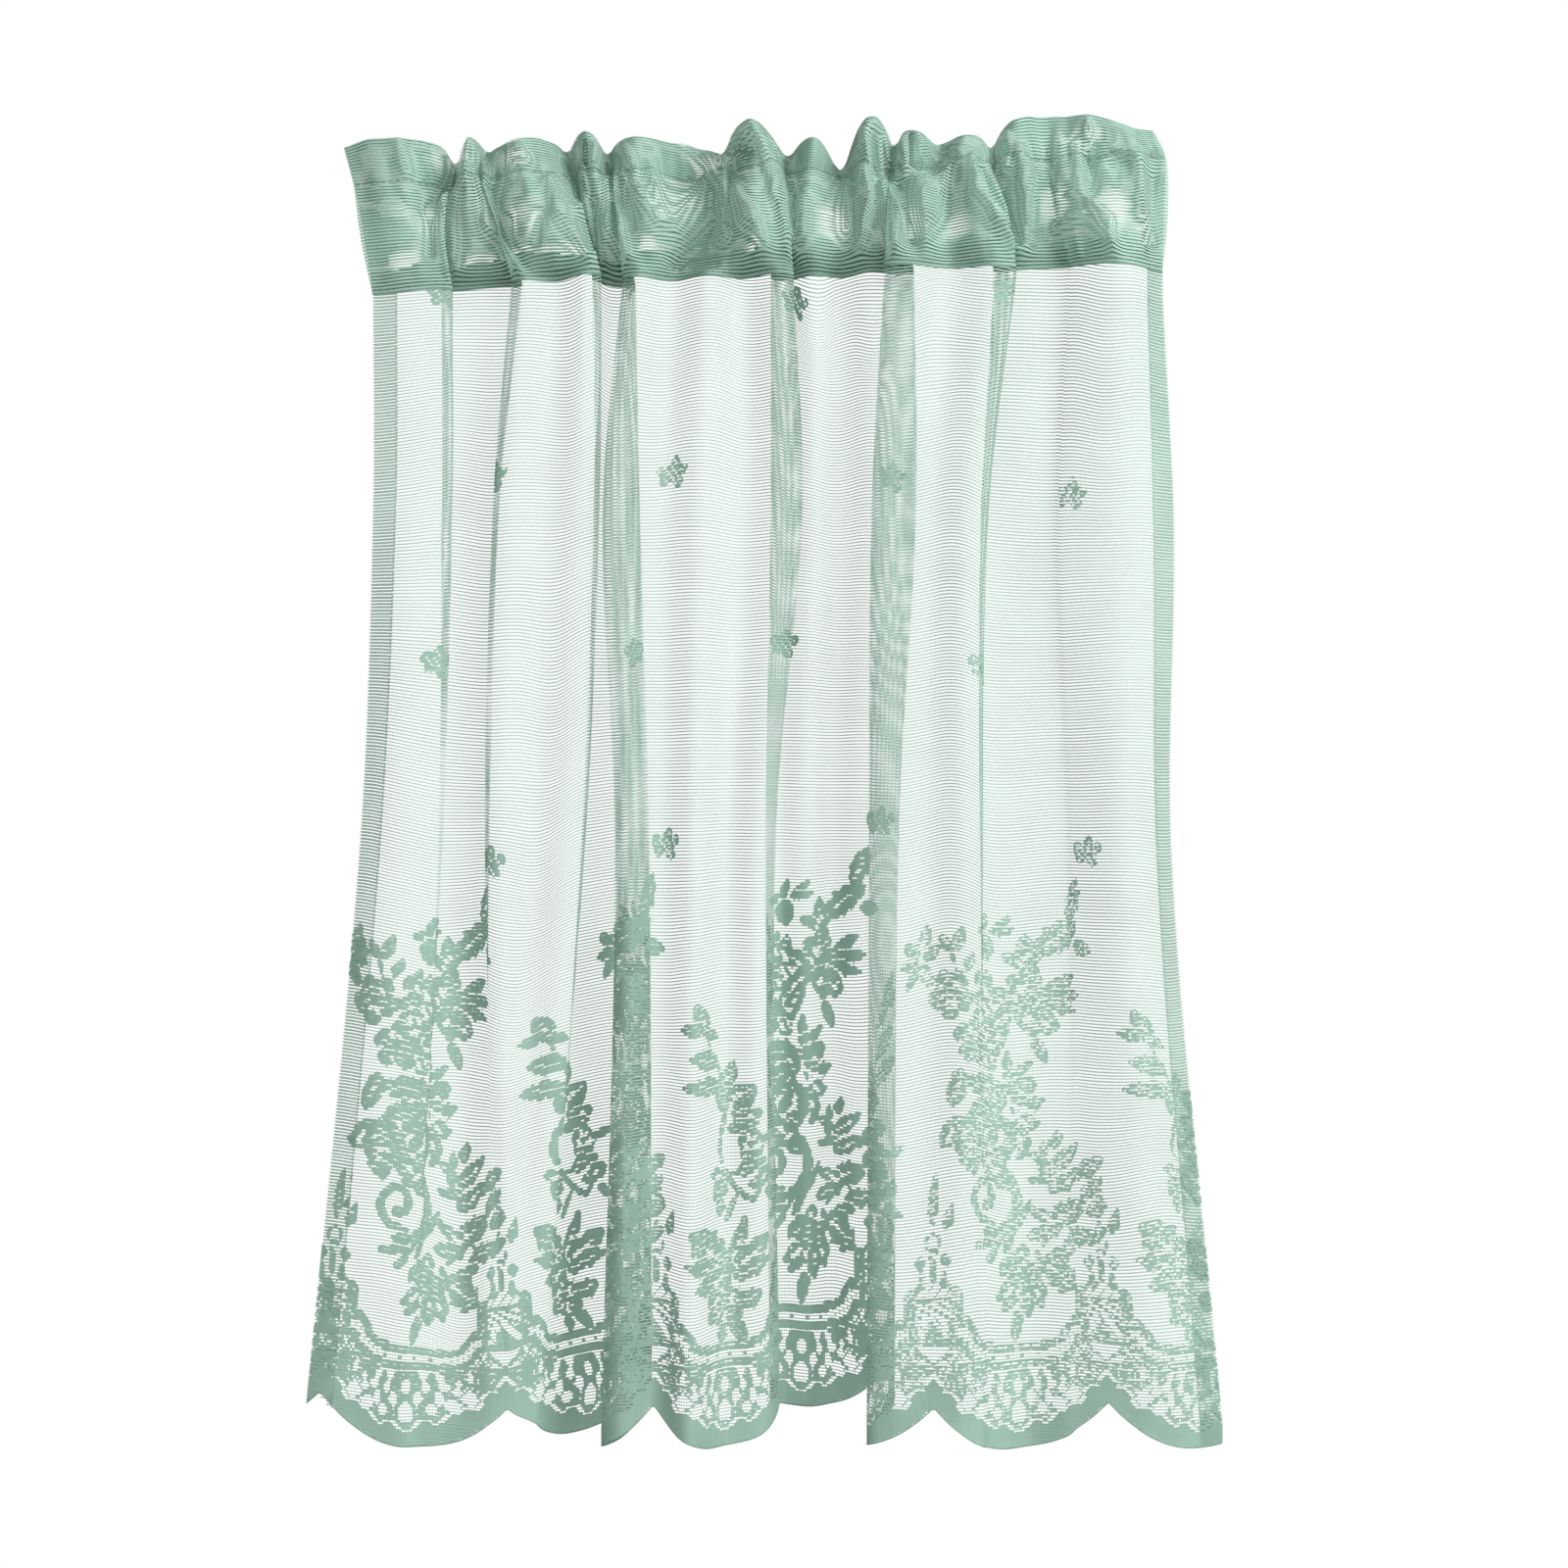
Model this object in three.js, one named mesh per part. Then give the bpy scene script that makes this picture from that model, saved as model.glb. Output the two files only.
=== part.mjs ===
// Lace curtain valance, gathered on a rod: one knitted lace cloth in two nodes.
// "panel" hangs from the pocket's lower seam to the scalloped edge.
// "heading" is the cloth's turned-over top: the rod pocket and the ruffle above it.
// Millimetres, +Z up, front towards -Y. The origin is the middle of the rod's line.

import * as THREE from "three";

// The flat cloth
const flatWidth = 682; // finished width, side hems turned in
const scallopWidth = 88.5;
const firstNotch = 6; // from the left edge to the first notch between scallops
const scallopDepth = 21;
const seamLevel = -24; // height of the pocket's lower seam, about which each fold's own varies
const notchDrop = 522; // from that level to a notch
const clothThickness = 1.2;
const sideHemWidth = 12;
const sideHemThickness = 2;

// The heading
const seamAllowance = 1.8; // joined cloth at each of the pocket's seams
const rodRoom = 18; // clear depth inside the pocket, front to back
const pocketFullness = 0.35; // 0 for straight walls between the seams, front and back
const pocketGather = 0.4; // share of the folds' depth that goes on round the rod
const ruffleGather = 0.9; // and in the ruffle above it
const archRise = 7; // how far the ruffle's top edge stands up between two notches
const topSeam = [19, 33]; // height of the pocket's upper seam at the left and right end
const seamGap = 0.3; // between the panel's top edge and the heading

// Each fold line, from the left edge to the right. cut is its place on the flat cloth, and
// across and depth are its place as hung, each at the seam, a fifth down, half way down and
// at the hem. ripples is how many swells and hollows the cloth has at the seam before the
// next line: 0 between the two edges of a folded-over pleat. side is the way that the cloth
// bows there, -1 to the front. crown is the ruffle's place above the line, across and
// height, and arches how many swells its top edge has before the next line. seam is the
// height of the pocket's lower seam, and hem how far the scalloped edge is lifted.
const folds = [
  { name: "leftEdge", ripples: 1, side: -1, arches: 1, crown: [-198, 38], seam: -31, hem: 4,
    cut: [0, 0, 0, 0], across: [-185, -185, -191, -215], depth: [-6, -6, -8, -16] },
  { name: "pleatBFront", ripples: 0, side: -1, arches: 0, crown: [-145, 34], seam: -28, hem: 0,
    cut: [39, 40, 43, 45], across: [-148, -148, -153, -169], depth: [-3, -3, -8, -22] },
  { name: "pleatBBack", ripples: 1, side: 1, arches: 1, crown: [-146, 30], seam: -27, hem: 0,
    cut: [51, 51, 52, 52], across: [-154, -154, -155, -163], depth: [8, 7, 0, -20] },
  { name: "pleatCBack", ripples: 0, side: 1, arches: 0, crown: [-129, 33], seam: -25, hem: -2,
    cut: [88, 89, 88, 85], across: [-116, -127, -131, -130], depth: [7, 6, -2, -22] },
  { name: "pleatCFront", ripples: 3, side: -1, arches: 2, crown: [-132, 34], seam: -25, hem: -3,
    cut: [99, 98, 95, 94], across: [-120, -129, -132, -121], depth: [-4, -3, -8, -20] },
  { name: "pleatEFront", ripples: 0, side: -1, arches: 0, crown: [-80, 36], seam: -22, hem: 0,
    cut: [157, 154, 146, 108], across: [-78, -79, -86, -108], depth: [-6, -4, -6, -12] },
  { name: "pleatEBack", ripples: 1, side: 1, arches: 1, crown: [-84, 33], seam: -22, hem: 0,
    cut: [170, 163, 156, 118], across: [-83, -82, -88, -104], depth: [6, 5, 4, -2] },
  { name: "pleatOneBack", ripples: 0, side: 1, arches: 0, crown: [-76, 34], seam: -24, hem: 0,
    cut: [204, 202, 198, 180], across: [-63, -61, -57, -56], depth: [10, 14, 20, 28] },
  { name: "pleatOneFront", ripples: 5, side: -1, arches: 2, crown: [-74, 36], seam: -24, hem: 0,
    cut: [230, 236, 240, 240], across: [-68, -77, -71, -77], depth: [-8, -14, -17, -24] },
  { name: "pleatTwoFront", ripples: 0, side: -1, arches: 0, crown: [6, 36], seam: -22, hem: 2,
    cut: [346, 348, 350, 354], across: [12, 16, 3, 5], depth: [-6, -8, -6, -6] },
  { name: "pleatTwoBack", ripples: 5, side: 1, arches: 2, crown: [8, 32], seam: -21, hem: 10,
    cut: [372, 376, 382, 389], across: [1, 1, -1, 1], depth: [10, 14, 20, 26] },
  { name: "pleatThreeBack", ripples: 0, side: 1, arches: 0, crown: [60, 33], seam: -18, hem: 4,
    cut: [468, 467, 464, 456], across: [69, 70, 62, 60], depth: [12, 14, 20, 24] },
  { name: "pleatThreeFront", ripples: 3, side: -1, arches: 2, crown: [57, 36], seam: -18, hem: 0,
    cut: [498, 500, 502, 504], across: [54, 48, 47, 46], depth: [-10, -12, -12, -18] },
  { name: "pleatKFront", ripples: 0, side: -1, arches: 0, crown: [106, 36], seam: -18, hem: -3,
    cut: [571, 570, 567, 561], across: [116, 103, 100, 99], depth: [-4, -4, -12, -20] },
  { name: "pleatKBack", ripples: 1, side: 1, arches: 1, crown: [103, 38], seam: -18, hem: -2,
    cut: [585, 579, 571, 566], across: [106, 100, 99, 103], depth: [6, 4, -8, -20] },
  { name: "creaseBack", ripples: 0, side: 1, arches: 0, crown: [145, 48], seam: -17, hem: 0,
    cut: [615, 614, 612, 605], across: [140, 134, 139, 139], depth: [4, 2, -2, -18] },
  { name: "creaseFront", ripples: 1, side: -1, arches: 1, crown: [150, 48], seam: -18, hem: 1,
    cut: [625, 623, 621, 611], across: [142, 137, 143, 144], depth: [-6, -6, -10, -20] },
  { name: "rightEdge", ripples: 0, side: -1, arches: 0, crown: [181, 45], seam: -20, hem: 0,
    cut: [682, 682, 682, 682], across: [185, 190, 189, 211], depth: [-4, -6, -6, -16] },
];
const levels = [0, 0.2, 0.5, 1]; // where the four values are given, as shares of the drop
const rippleFade = 0.8; // share of the ripples that has run into one swell at the hem

// How finely the solids are faceted
const rippleSteps = 3; // facets along each swell or hollow
const fewestSteps = 5; // along a stretch with few of them
const pleatSteps = 3; // and across each folded-over pleat
const panelRows = [0, 0.05, 0.12, 0.2, 0.3, 0.4, 0.5, 0.61, 0.72, 0.82, 0.92, 1];
const wallRows = [0.12, 0.36, 0.64, 0.88]; // shares of the pocket's height
const curveSteps = 8; // points between two knots when a section's length is measured

// A smooth value between four given ones, at a share of the drop.
function glide(values, share) {
  const at = Math.min(Math.max(share, 0), 1);
  let i = 0;
  while (i < levels.length - 2 && at > levels[i + 1]) i += 1;
  const slope = (k) => {
    const low = Math.max(k - 1, 0);
    const high = Math.min(k + 1, levels.length - 1);
    return (values[high] - values[low]) / (levels[high] - levels[low]);
  };
  const span = levels[i + 1] - levels[i];
  const t = (at - levels[i]) / span;
  const [t2, t3] = [t * t, t * t * t];
  return (
    (2 * t3 - 3 * t2 + 1) * values[i] +
    (t3 - 2 * t2 + t) * span * slope(i) +
    (3 * t2 - 2 * t3) * values[i + 1] +
    (t3 - t2) * span * slope(i + 1)
  );
}

// The knots of the section at one level: the fold lines, and the swells and hollows between
// them, which stand out by each stretch's own rise.
function sectionKnots(share, rises) {
  const knots = [];
  folds.forEach((fold, i) => {
    const at = (f) => [glide(f.across, share), glide(f.depth, share)];
    const [x0, y0] = at(fold);
    knots.push({ x: x0, y: y0, fold: i });
    if (i === folds.length - 1) return;
    const [x1, y1] = at(folds[i + 1]);
    for (let k = 0; k < fold.ripples; k += 1) {
      const t = (k + 0.5) / fold.ripples;
      const ripple = k % 2 ? -1 : 1;
      const swell = Math.sin(Math.PI * t) * (fold.ripples % 2 ? 1 : 0);
      const run = rippleFade * Math.min(share, 1);
      const rise = fold.side * rises[i] * (ripple * (1 - run) + (swell || ripple) * run);
      knots.push({ x: x0 + (x1 - x0) * t, y: y0 + (y1 - y0) * t + rise, fold: -1 });
    }
  });
  return knots;
}

// A centripetal curve through the knots, as points with their distance along it.
function sectionCurve(knots) {
  const gap = (a, b) => Math.max(Math.hypot(b.x - a.x, b.y - a.y), 1e-6) ** 0.5;
  const tangent = (a, b, c, key) => {
    if (!a) return (c[key] - b[key]) / gap(b, c);
    if (!c) return (b[key] - a[key]) / gap(a, b);
    const [before, after] = [gap(a, b), gap(b, c)];
    return (
      (b[key] - a[key]) / before - (c[key] - a[key]) / (before + after) + (c[key] - b[key]) / after
    );
  };
  const points = [];
  const foldAt = [];
  let along = 0;
  knots.forEach((b, i) => {
    const [a, c, d] = [knots[i - 1], knots[i + 1], knots[i + 2]];
    if (b.fold >= 0) foldAt.push(along);
    if (!c) {
      points.push({ x: b.x, y: b.y, along });
      return;
    }
    const span = gap(b, c);
    for (let k = 0; k < curveSteps; k += 1) {
      const t = k / curveSteps;
      const place = (time) => {
        const [t2, t3] = [time * time, time * time * time];
        return ["x", "y"].map(
          (key) =>
            (2 * t3 - 3 * t2 + 1) * b[key] +
            (t3 - 2 * t2 + time) * span * tangent(a, b, c, key) +
            (3 * t2 - 2 * t3) * c[key] +
            (t3 - t2) * span * tangent(b, c, d, key),
        );
      };
      const [x, y] = place(t);
      points.push({ x, y, along });
      const [nextX, nextY] = place((k + 1) / curveSteps);
      along += Math.hypot(nextX - x, nextY - y);
    }
  });
  return { points, foldAt };
}

const mix = (pair, share) => pair[0] + (pair[1] - pair[0]) * share;
const cutAt = (fold, share) => glide(fold.cut, share);

// The section at one level: each stretch between two fold lines bows out until it is as long
// as its cloth, because cloth doesn't stretch.
function section(share) {
  const rises = folds.map(() => 4);
  for (let sweep = 0; sweep < 12; sweep += 1) {
    const { foldAt } = sectionCurve(sectionKnots(share, rises));
    folds.slice(0, -1).forEach((fold, i) => {
      if (!fold.ripples) return;
      const wanted = cutAt(folds[i + 1], share) - cutAt(fold, share);
      const found = foldAt[i + 1] - foldAt[i];
      const change = (wanted - found) / (1.6 * fold.ripples);
      rises[i] = Math.min(Math.max(rises[i] + change, 0), 45);
    });
  }
  return sectionCurve(sectionKnots(share, rises));
}

// Stations along the cloth, as a stretch and a share of it: the same at every level.
const stations = [];
folds.slice(0, -1).forEach((fold, i) => {
  const steps = fold.ripples ? Math.max(fold.ripples * rippleSteps, fewestSteps) : pleatSteps;
  for (let k = 0; k < steps; k += 1) stations.push({ stretch: i, share: k / steps });
});
stations.push({ stretch: folds.length - 2, share: 1 });

// A value given for each fold line, eased from one line to the next at a station.
function alongFolds(value, { stretch, share }) {
  const ease = (1 - Math.cos(Math.PI * share)) / 2;
  return mix([value(folds[stretch]), value(folds[stretch + 1])], ease);
}

// The place of each station on a section.
function placeStations({ points, foldAt }) {
  return stations.map(({ stretch, share }) => {
    const wanted = foldAt[stretch] + (foldAt[stretch + 1] - foldAt[stretch]) * share;
    let i = 1;
    while (i < points.length - 1 && points[i].along < wanted) i += 1;
    const [a, b] = [points[i - 1], points[i]];
    const t = (wanted - a.along) / Math.max(b.along - a.along, 1e-9);
    return { x: a.x + (b.x - a.x) * t, y: a.y + (b.y - a.y) * t };
  });
}

// The place of each station on the flat cloth, at a share of the drop.
function flatPlace({ stretch, share }, drop) {
  return mix([cutAt(folds[stretch], drop), cutAt(folds[stretch + 1], drop)], share);
}

// How far the scalloped edge reaches below the notches.
function scallop(flat) {
  const turn = (((flat - firstNotch) / scallopWidth) % 1) + (flat < firstNotch ? 1 : 0);
  return scallopDepth * (1 - Math.abs(2 * turn - 1) ** 2.3);
}

// The hanging cloth's middle surface, a row of points for each level.
function panelSurface() {
  const tops = stations.map((s) => alongFolds((f) => f.seam, s) - seamGap);
  const lifts = stations.map((s) => alongFolds((f) => f.hem, s));
  return panelRows.map((row) => {
    const places = placeStations(section(row));
    return places.map(({ x, y }, i) => {
      const hem = seamLevel - notchDrop + lifts[i] - scallop(flatPlace(stations[i], 1));
      return new THREE.Vector3(x, y, tops[i] + (hem - tops[i]) * row);
    });
  });
}

// Unit normals of a grid of points, one row for each level, all on the grid's front side.
function gridNormals(rows) {
  const [tall, wide] = [rows.length, rows[0].length];
  return rows.map((row, j) =>
    row.map((p, i) => {
      const across = new THREE.Vector3().subVectors(
        row[Math.min(i + 1, wide - 1)],
        row[Math.max(i - 1, 0)],
      );
      const down = new THREE.Vector3().subVectors(
        rows[Math.min(j + 1, tall - 1)][i],
        rows[Math.max(j - 1, 0)][i],
      );
      return down.cross(across).normalize();
    }),
  );
}

// A closed sheet: the middle surface moved out by half the thickness to both sides.
function closedSheet(rows, thicknessAt) {
  const [tall, wide] = [rows.length, rows[0].length];
  const normals = gridNormals(rows);
  const vertices = [-1, 1].flatMap((sign) =>
    rows.flatMap((row, j) =>
      row.map((p, i) => p.clone().addScaledVector(normals[j][i], (sign * thicknessAt(i)) / 2)),
    ),
  );
  const index = (side, j, i) => side * tall * wide + j * wide + i;
  const faces = [];
  const quad = (a, b, c, d) => faces.push(a, b, c, a, c, d);
  for (let j = 0; j < tall - 1; j += 1) {
    for (let i = 0; i < wide - 1; i += 1) {
      quad(index(1, j, i), index(1, j + 1, i), index(1, j + 1, i + 1), index(1, j, i + 1));
      quad(index(0, j, i), index(0, j, i + 1), index(0, j + 1, i + 1), index(0, j + 1, i));
    }
  }
  for (let i = 0; i < wide - 1; i += 1) {
    quad(index(0, 0, i), index(1, 0, i), index(1, 0, i + 1), index(0, 0, i + 1));
    const last = tall - 1;
    quad(index(0, last, i), index(0, last, i + 1), index(1, last, i + 1), index(1, last, i));
  }
  for (let j = 0; j < tall - 1; j += 1) {
    quad(index(0, j, 0), index(0, j + 1, 0), index(1, j + 1, 0), index(1, j, 0));
    const end = wide - 1;
    quad(index(0, j, end), index(1, j, end), index(1, j + 1, end), index(0, j + 1, end));
  }
  return geometryOf(vertices, faces);
}

function geometryOf(vertices, faces) {
  const geometry = new THREE.BufferGeometry();
  geometry.setAttribute(
    "position",
    new THREE.Float32BufferAttribute(vertices.flatMap((v) => [v.x, v.y, v.z]), 3),
  );
  geometry.setIndex(faces);
  geometry.computeVertexNormals();
  return geometry;
}

// The heading's section at each station: an outer loop round pocket and ruffle, and the
// pocket's inner loop, which the rod passes through.
function headingGeometry() {
  const seamPlaces = placeStations(section(0));
  const depths = seamPlaces.map((p) => p.y);
  const [front, back] = [Math.min(...depths), Math.max(...depths)];
  const middle = (front + back) / 2;
  const lines = stations.map((station, i) => {
    const { x, y } = seamPlaces[i];
    const end = (x - folds[0].across[0]) / (folds.at(-1).across[0] - folds[0].across[0]);
    const crownX = x + alongFolds((f) => f.crown[0] - f.across[0], station);
    const arch = Math.abs(Math.sin(Math.PI * folds[station.stretch].arches * station.share));
    const gathered = (share) => middle + (y - middle) * share;
    return {
      foot: new THREE.Vector3(x, y, alongFolds((f) => f.seam, station)),
      top: new THREE.Vector3(mix([x, crownX], 0.6), gathered(pocketGather), mix(topSeam, end)),
      crown: new THREE.Vector3(
        crownX,
        gathered(ruffleGather),
        alongFolds((f) => f.crown[1], station) + archRise * arch,
      ),
      frontReach: -(rodRoom + clothThickness) / 2 - (back - y) * pocketGather,
      backReach: (rodRoom + clothThickness) / 2 + (y - front) * pocketGather,
    };
  });
  // rows of points from the crown down, so that every normal is on the front side
  const wallShares = [1, ...wallRows.toReversed(), 0];
  const wall = (reach) =>
    wallShares.map((share) =>
      lines.map((line) => {
        const bulge = Math.sin(Math.PI * share) ** pocketFullness;
        const p = line.foot.clone().lerp(line.top, share);
        p.y = mix([p.y, line[reach]], bulge);
        return p;
      }),
    );
  const [frontWall, backWall] = [wall("frontReach"), wall("backReach")];
  const ruffle = [lines.map((line) => line.crown), lines.map((line) => line.top)];
  const up = (p, dz) => new THREE.Vector3(p.x, p.y, p.z + dz);
  const seam = [lines.map((line) => line.foot), lines.map((line) => up(line.foot, -1))];
  const offset = (rows, normals, j, i, distance) =>
    rows[j][i].clone().addScaledVector(normals[j][i], distance);
  const [frontNormals, backNormals] = [frontWall, backWall].map(gridNormals);
  const [ruffleNormals, seamNormals] = [ruffle, seam].map(gridNormals);
  const inside = wallShares.map((share, j) => j).slice(1, -1);
  const half = clothThickness / 2;
  const doubled = clothThickness; // two layers lie together at a seam and in the ruffle
  const outerLoops = lines.map((line, i) => [
    offset(seam, seamNormals, 0, i, doubled),
    ...inside.toReversed().map((j) => offset(frontWall, frontNormals, j, i, half)),
    offset(ruffle, ruffleNormals, 1, i, doubled),
    offset(ruffle, ruffleNormals, 0, i, doubled),
    offset(ruffle, ruffleNormals, 0, i, -doubled),
    offset(ruffle, ruffleNormals, 1, i, -doubled),
    ...inside.map((j) => offset(backWall, backNormals, j, i, -half)),
    offset(seam, seamNormals, 0, i, -doubled),
  ]);
  const innerLoops = lines.map((line, i) => [
    up(line.foot, seamAllowance),
    ...inside.toReversed().map((j) => offset(frontWall, frontNormals, j, i, -half)),
    up(line.top, -seamAllowance),
    ...inside.map((j) => offset(backWall, backNormals, j, i, half)),
  ]);
  return tubeGeometry(outerLoops, innerLoops);
}

// A wall between an outer and an inner run of loops, capped at both ends.
function tubeGeometry(outerLoops, innerLoops) {
  const wide = outerLoops.length;
  const [outerCount, innerCount] = [outerLoops[0].length, innerLoops[0].length];
  const vertices = [...outerLoops.flat(), ...innerLoops.flat()];
  const outer = (i, k) => i * outerCount + (k % outerCount);
  const inner = (i, k) => wide * outerCount + i * innerCount + (k % innerCount);
  const faces = [];
  for (let i = 0; i < wide - 1; i += 1) {
    for (let k = 0; k < outerCount; k += 1) {
      const [a, b, c, d] = [outer(i, k), outer(i + 1, k), outer(i + 1, k + 1), outer(i, k + 1)];
      faces.push(a, b, c, a, c, d);
    }
    for (let k = 0; k < innerCount; k += 1) {
      const [a, b, c, d] = [inner(i, k), inner(i + 1, k), inner(i + 1, k + 1), inner(i, k + 1)];
      faces.push(a, c, b, a, d, c);
    }
  }
  for (const end of [0, wide - 1]) {
    const flat = (p) => new THREE.Vector2(p.y, p.z);
    const rim = outerLoops[end].map(flat);
    const hole = innerLoops[end].map(flat);
    const corner = (k) => (k < outerCount ? outer(end, k) : inner(end, k - outerCount));
    for (const [a, b, c] of THREE.ShapeUtils.triangulateShape(rim, [hole])) {
      const [p, q, r] = [a, b, c].map((k) => (k < outerCount ? rim[k] : hole[k - outerCount]));
      const turn = (q.x - p.x) * (r.y - p.y) - (q.y - p.y) * (r.x - p.x);
      const outward = turn > 0 === end > 0;
      faces.push(corner(a), outward ? corner(b) : corner(c), outward ? corner(c) : corner(b));
    }
  }
  return geometryOf(vertices, faces);
}

// The side edges are turned in, so the cloth is thicker there.
function thicknessAt(i) {
  const place = flatPlace(stations[i], 0.5);
  const fromEdge = Math.min(place, flatWidth - place);
  return fromEdge < sideHemWidth ? sideHemThickness : clothThickness;
}

const lace = new THREE.MeshStandardMaterial({ color: 0x9cc4b2, roughness: 0.85, metalness: 0 });

const panel = new THREE.Mesh(closedSheet(panelSurface(), thicknessAt), lace);
panel.name = "panel";

const heading = new THREE.Mesh(headingGeometry(), lace);
heading.name = "heading";

const valance = new THREE.Group();
valance.name = "lace_valance";
valance.add(panel, heading);

export default valance;
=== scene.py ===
import math

import bpy
import numpy as np
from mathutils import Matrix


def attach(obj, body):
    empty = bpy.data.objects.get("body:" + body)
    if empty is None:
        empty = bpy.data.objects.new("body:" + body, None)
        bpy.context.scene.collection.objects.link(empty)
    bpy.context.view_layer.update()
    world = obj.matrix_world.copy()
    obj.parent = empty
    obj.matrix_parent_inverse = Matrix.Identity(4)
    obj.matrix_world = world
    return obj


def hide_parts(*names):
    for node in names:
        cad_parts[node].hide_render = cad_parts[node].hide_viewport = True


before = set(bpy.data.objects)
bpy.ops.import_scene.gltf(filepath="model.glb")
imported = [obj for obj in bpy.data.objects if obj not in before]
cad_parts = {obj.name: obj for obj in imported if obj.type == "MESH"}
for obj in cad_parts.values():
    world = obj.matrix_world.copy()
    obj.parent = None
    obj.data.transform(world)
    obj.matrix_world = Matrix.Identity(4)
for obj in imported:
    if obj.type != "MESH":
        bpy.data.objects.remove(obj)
bpy.ops.object.select_all(action="DESELECT")
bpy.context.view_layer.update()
scene = bpy.context.scene
mm = 0.001

# In metres, with the sensor in millimetres: the camera looks level at the hanging cloth
view = {
    "distance": 1.5, "height": -0.26, "aside": 0.00736, "frameWidth": 0.736, "sensor": 36, "farthest": 30,
}
camera = bpy.data.objects.new("camera", bpy.data.cameras.new("camera"))
scene.collection.objects.link(camera)
camera.location = (view["aside"], -view["distance"], view["height"])
camera.rotation_euler = (math.radians(90), 0, 0)
camera.data.sensor_width = view["sensor"]
camera.data.lens = view["sensor"] * view["distance"] / view["frameWidth"]
camera.data.clip_end = view["farthest"]
scene.camera = camera

# The flat cloth, in millimetres: u runs across from the left edge, s down from the lower seam
cloth = {
    "width": 682, "notchDrop": 522, "scallopWidth": 88.5, "firstNotch": 6, "scallopDepth": 21,
    "scallopPower": 2.3, "seamLevel": -24, "course": 1.5, "wale": 88.5 / 70, "sideHem": 12,
}
# One row for each fold line, from the left edge to the right: name, swells and hollows up to
# the next line, side it bows to, then its place on the flat cloth, its place across and its
# depth as hung, each at the seam, a fifth down, half way down and at the hem
folds = [
    ("leftEdge", 1, -1, (0, 0, 0, 0), (-185, -185, -191, -215), (-6, -6, -8, -16)),
    ("pleatBFront", 0, -1, (39, 40, 43, 45), (-148, -148, -153, -169), (-3, -3, -8, -22)),
    ("pleatBBack", 1, 1, (51, 51, 52, 52), (-154, -154, -155, -163), (8, 7, 0, -20)),
    ("pleatCBack", 0, 1, (88, 89, 88, 85), (-116, -127, -131, -130), (7, 6, -2, -22)),
    ("pleatCFront", 3, -1, (99, 98, 95, 94), (-120, -129, -132, -121), (-4, -3, -8, -20)),
    ("pleatEFront", 0, -1, (157, 154, 146, 108), (-78, -79, -86, -108), (-6, -4, -6, -12)),
    ("pleatEBack", 1, 1, (170, 163, 156, 118), (-83, -82, -88, -104), (6, 5, 4, -2)),
    ("pleatOneBack", 0, 1, (204, 202, 198, 180), (-63, -61, -57, -56), (10, 14, 20, 28)),
    ("pleatOneFront", 5, -1, (230, 236, 240, 240), (-68, -77, -71, -77), (-8, -14, -17, -24)),
    ("pleatTwoFront", 0, -1, (346, 348, 350, 354), (12, 16, 3, 5), (-6, -8, -6, -6)),
    ("pleatTwoBack", 5, 1, (372, 376, 382, 389), (1, 1, -1, 1), (10, 14, 20, 26)),
    ("pleatThreeBack", 0, 1, (468, 467, 464, 456), (69, 70, 62, 60), (12, 14, 20, 24)),
    ("pleatThreeFront", 3, -1, (498, 500, 502, 504), (54, 48, 47, 46), (-10, -12, -12, -18)),
    ("pleatKFront", 0, -1, (571, 570, 567, 561), (116, 103, 100, 99), (-4, -4, -12, -20)),
    ("pleatKBack", 1, 1, (585, 579, 571, 566), (106, 100, 99, 103), (6, 4, -8, -20)),
    ("creaseBack", 0, 1, (615, 614, 612, 605), (140, 134, 139, 139), (2, -1, -6, -19)),
    ("creaseFront", 1, -1, (625, 623, 621, 611), (142, 137, 143, 144), (-6, -6, -10, -20)),
    ("rightEdge", 0, -1, (682, 682, 682, 682), (185, 190, 189, 211), (-4, -6, -6, -16)),
]
# For the same lines: the seam's height, the hem's lift, and how far the courses lie above or
# below a level line at the same four levels
foldLevels = [
    (-31, 4, (5, 5, 2, 0)), (-28, 0, (3, 3, -6, 0)), (-27, 0, (3, 3, -6, 0)), (-25, -2, (2, 0, -8, 0)),
    (-25, -3, (2, 0, -8, 0)), (-22, 0, (6, 4, -1, 0)), (-22, 0, (6, 4, -1, 0)), (-24, 0, (5, 5, 3, 0)),
    (-24, 0, (-1, -2, -1, 0)), (-22, 2, (-5, -4, -2, 0)), (-21, 10, (-1, 2, 3, 0)),
    (-18, 4, (-2, -5, -3, 0)), (-18, 0, (-6, -9, -7, 0)), (-18, -3, (-6, -12, -10, 0)),
    (-18, -2, (-6, -12, -10, 0)), (-17, 0, (-8, -15, -8, 0)), (-18, 1, (-8, -15, -8, 0)),
    (-20, 0, (-12, -14, -3, 0)),
]
panelLevels = np.array([0, 0.2, 0.5, 1])
hanging = {
    "rippleFade": 0.8, "sweeps": 12, "solveSteps": 8, "firstRise": 4, "easing": 1.6, "mostRise": 45,
    "curveSteps": 10, "rows": 110, "columns": 1365, "bow": 0.0007, "hemClear": 6, "hemFade": 40, "probe": 0.4,
}


def smooth(t, span, start, startSlope, end, endSlope):  # a curve from one value to the next, t from 0 to 1
    return (
        (2 * t**3 - 3 * t**2 + 1) * start + (t**3 - 2 * t**2 + t) * span * startSlope
        + (3 * t**2 - 2 * t**3) * end + (t**3 - t**2) * span * endSlope
    )


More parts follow.
